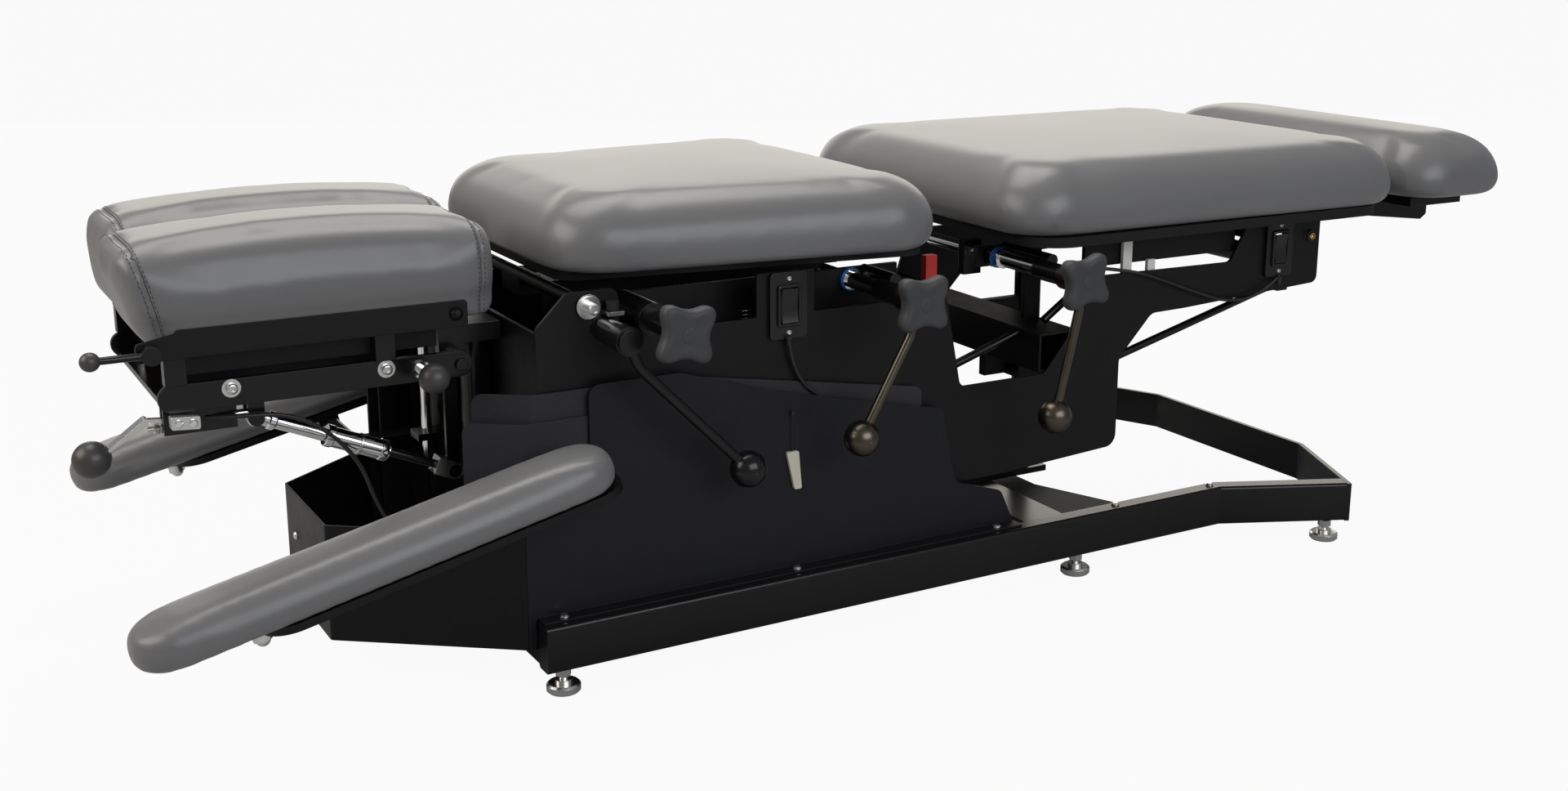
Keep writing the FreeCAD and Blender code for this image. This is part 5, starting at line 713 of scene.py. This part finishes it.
# Locking strut: collars and grooves on its cylinder, drawn along its own line
strut_start, strut_end = at(-244, -100, 304), at(-45, -100, 218)
strut_way = (strut_end - strut_start).normalized()
STRUT_LENGTH = 216.8
turned_form("strut_end_cap", strut_start + strut_way * 14 * MM, strut_way,
            [(0, 8.4), (1, 9.4), (6, 9.4), (7, 8.4), (8, 7.2)], chrome, "strut_cylinder")
for name, a, profile, mat in (
        ("strut_collar", STRUT_LENGTH * 0.35 - 2, [(0, 10.8), (0.8, 11.6), (7, 11.6), (8, 10.8)], chrome),
        ("strut_groove_ring", STRUT_LENGTH * 0.5, [(0, 10.8), (0.6, 11.4), (3.4, 11.4), (4, 10.8)], zinc),
        ("strut_gland", STRUT_LENGTH * 0.65 - 9, [(0, 10.8), (0.8, 11.5), (7, 11.5), (8, 10.8)], chrome)):
    collar(name, strut_start + strut_way * a * MM, strut_way, profile, 10.3, mat, "strut_cylinder")

# Cable adjuster on the release block: threaded barrel, lock nut and clevis
thread = [(i * 0.5, 3.2 if i % 2 else 2.7) for i in range(28)]
turned_form("cable_adjuster_thread", at(-330, -100, 304), (-1, 0, 0), thread, zinc, "head_tilt", sides=20)
turned_form("cable_adjuster_nut", at(-333, -100, 304), (-1, 0, 0),
            [(0, 5.4), (0.5, 6.0), (4.0, 6.0), (4.5, 5.4)], zinc, "head_tilt", sides=6)
turned_form("cable_adjuster_barrel", at(-262, -108, 311), (1, 0, 0),
            [(-2, 3.4), (1, 4.0), (9, 4.0), (11, 3.2), (15, 2.8)], zinc, "head_tilt", sides=20)


# A flat piece with eased edges, from its outline across y or across z
def slab(name, points, radii, axis, low, high, mat, body, ease=0.7):
    middle = sum((Vector(p) for p in points), Vector((0, 0))) / len(points)
    rings = []
    for depth, inset in ((low, ease), (low + ease, 0), (high - ease, 0), (high, ease)):
        eased = [Vector(p).lerp(middle, inset / (Vector(p) - middle).length) for p in points]
        ring = rounded(eased, radii, 4, 3)
        rings.append([at(p.x, depth, p.y) if axis == "y" else at(p.x, p.y, depth) for p in ring])
    obj = stacked(name, rings, mat, steps=2)
    smooth(obj, 30)
    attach(obj, body)


# Inner slide bars of the head section with their nuts, seen through the gap above the tilt bar
for side, where in SIDES:
    slab("head_slide_bar_" + where, [(-316, 332), (-98, 332), (-98, 366), (-316, 372)], [4] * 4, "y",
         min(side * 58, side * 62), max(side * 58, side * 62), powder, "head_tilt")
for i, (x, z) in enumerate(((-221, 353), (-196, 352), (-170, 354)), 1):
    turned_form("head_slide_nut_%d" % i, at(x, -62, z), (0, -1, 0),
                [(0, 5.4), (0.4, 6.0), (4.2, 6.0), (4.8, 5.2)], zinc, "head_tilt", sides=6)

# Cable clevis at the head end of the release block, with its pin heads
slab("cable_clevis", [(-329, 312), (-302, 310), (-302, 323), (-329, 325)], [2] * 4, "y", -143, -131.5, zinc,
     "head_tilt")
for i, (x, z) in enumerate(((-322, 318), (-309, 317)), 1):
    turned_form("cable_clevis_pin_%d" % i, at(x, -143, z), (0, -1, 0), [(-0.5, 3.6), (1.6, 3.6), (2.4, 2.8)],
                chrome, "head_tilt", sides=20)

# Floor pan of the base between the side covers and the open bay
slab("base_floor_pan", [(718, -203), (822, -203), (819, -154), (774, -56), (774, 204), (718, 204)], [2] * 6,
     "z", 46.5, 49.5, board, "base")

# Return spring of the chest release, hung inside the near plate
COIL_RADIUS, COIL_HEIGHT = 5.4, 36
COIL_TURNS, TURN_POINTS = 8, 21
coil_points = COIL_TURNS * TURN_POINTS
coil = []
for k in range(coil_points + 1):
    angle = 2 * math.pi * k / TURN_POINTS
    coil.append(at(278 + COIL_RADIUS * math.cos(angle), -150 + COIL_RADIUS * math.sin(angle),
                   330 + COIL_HEIGHT * k / coil_points))
strand("chest_release_spring", coil, 0.0011, zinc, "lift", closed=False)


# Second finishes on CAD pieces, chosen by where each face lies
def paint(node, mat, inside):
    obj = nodes[node]
    obj.data.materials.append(mat)
    index = len(obj.data.materials) - 1
    for face in obj.data.polygons:
        c = face.center
        if inside(Vector(((c.x - SHIFT) / MM, c.y / MM, c.z / MM))):
            face.material_index = index


for node, ball, arm in (("drop_lever_1", (223, -258, 219), satin),
                        ("drop_lever_2", (355, -273, 237), lever_steel),
                        ("drop_lever_3", (620, -273, 224), lever_steel)):
    paint(node, arm, lambda p, c=Vector(ball): (p - c).length > 19.4)
paint("shaft_collars", zinc, lambda p: math.hypot(p.x - 413, p.z - 386) < 12.8 and p.y > -213)
paint("drop_shafts", satin, lambda p: math.hypot(p.x - 86, p.z - 375) < 17 and p.y < -199)
nodes["side_covers"].data.materials[0] = cover_mat
paint("chassis_fasteners", rubber, lambda p: 84 < p.x < 104 and p.z > 394.5)
paint("stop_blocks", nylon, lambda p: p.x > 700)
paint("head_bolts", powder, lambda p: p.x > -65)
paint("release_lever", zinc, lambda p: (p - Vector((-395, -100, 282))).length > 18.4)
paint("lock_knob", chrome, lambda p: p.y > -157.5)
paint("clamp_handle", satin, lambda p: p.x > -388)
paint("head_posts", satin, lambda p: abs(p.y) > 30)
paint("strut_rod", zinc, lambda p: p.x > -68)
paint("hanging_wedge", rubber, lambda p: p.z > 214.2)
paint("shaft_collars", blue, lambda p: (abs(p.x - 413) < 14 and -153.1 < p.y < -148.1)
      or (abs(p.x - 634) < 12 and -138.9 < p.y < -133.9))
for node, shift in (("armrest_plate_near", 0), ("armrest_plate_far", 31)):
    paint(node, zinc, lambda p: arm_height(at(*p)) < -29.4 and 258.6 < abs(p.y) < 278)
nodes["strut_cylinder"].data.materials[0] = chrome
nodes["strut_rod"].data.materials[0] = satin
nodes["hanging_wedge"].data.materials[0] = wedge_mat

for obj in nodes.values():
    smooth(obj, 32)

# Floor and backdrop
bpy.ops.mesh.primitive_grid_add(x_subdivisions=4, y_subdivisions=4, size=80)
floor = bpy.context.object
floor.name = "floor"
floor_mat = bpy.data.materials.new("pale_floor")
floor_mat.use_nodes = True
tree = floor_mat.node_tree
shader = tree.nodes["Principled BSDF"]
shader.inputs["Roughness"].default_value = 0.9
shader.inputs["Specular IOR Level"].default_value = 0.1
grain = tree.nodes.new("ShaderNodeTexNoise")
grain.inputs["Scale"].default_value = 60.0
tint = tree.nodes.new("ShaderNodeMapRange")
tint.inputs["To Min"].default_value = 0.40
tint.inputs["To Max"].default_value = 0.44
tree.links.new(grain.outputs["Fac"], tint.inputs["Value"])
tree.links.new(tint.outputs["Result"], shader.inputs["Base Color"])
glow = tree.nodes.new("ShaderNodeEmission")
glow.inputs["Color"].default_value = (1, 1, 1, 1)
glow.inputs["Strength"].default_value = 1.0
ray = tree.nodes.new("ShaderNodeLightPath")
share = tree.nodes.new("ShaderNodeMath")
share.operation = "MULTIPLY"
share.inputs[1].default_value = 0.94
mix = tree.nodes.new("ShaderNodeMixShader")
tree.links.new(ray.outputs["Is Camera Ray"], share.inputs[0])
tree.links.new(share.outputs["Value"], mix.inputs["Fac"])
tree.links.new(shader.outputs["BSDF"], mix.inputs[1])
tree.links.new(glow.outputs["Emission"], mix.inputs[2])
tree.links.new(mix.outputs["Shader"], tree.nodes["Material Output"].inputs["Surface"])
floor.data.materials.append(floor_mat)

world = bpy.data.worlds.new("studio")
bpy.context.scene.world = world
world.use_nodes = True
tree = world.node_tree
lit = tree.nodes["Background"]
lit.inputs["Color"].default_value = (0.95, 0.97, 1.0, 1)
lit.inputs["Strength"].default_value = 0.26
white = tree.nodes.new("ShaderNodeBackground")
white.inputs["Color"].default_value = (1, 1, 1, 1)
white.inputs["Strength"].default_value = 1.0
ray = tree.nodes.new("ShaderNodeLightPath")
mix = tree.nodes.new("ShaderNodeMixShader")
tree.links.new(ray.outputs["Is Camera Ray"], mix.inputs["Fac"])
tree.links.new(lit.outputs["Background"], mix.inputs[1])
tree.links.new(white.outputs["Background"], mix.inputs[2])
tree.links.new(mix.outputs["Shader"], tree.nodes["World Output"].inputs["Surface"])


# A rectangular lamp that faces its aim
def area(name, place, aim, size, power, colour):
    data = bpy.data.lights.new(name, "AREA")
    data.shape = "RECTANGLE"
    data.size, data.size_y = size
    data.energy = power
    data.color = colour
    lamp = bpy.data.objects.new(name, data)
    lamp.location = place
    lamp.rotation_euler = (Vector(aim) - Vector(place)).to_track_quat("-Z", "Y").to_euler()
    collection.objects.link(lamp)


area("back_wall", (2.0, 4.2, 1.5), (0.2, 0, 0.5), (6.5, 2.6), 75, (1.0, 0.95, 0.84))
area("top_softbox", (-0.1, 0.7, 2.7), (0.0, 0, 0.4), (2.6, 1.4), 48, (1.0, 0.98, 0.93))
area("left_softbox", (-2.3, 0.2, 1.5), (-0.3, 0, 0.4), (1.6, 1.2), 24, (1.0, 0.96, 0.88))
area("front_fill", (0.2, -3.0, 1.7), (0, 0, 0.3), (2.6, 1.6), 42, (0.93, 0.96, 1.0))
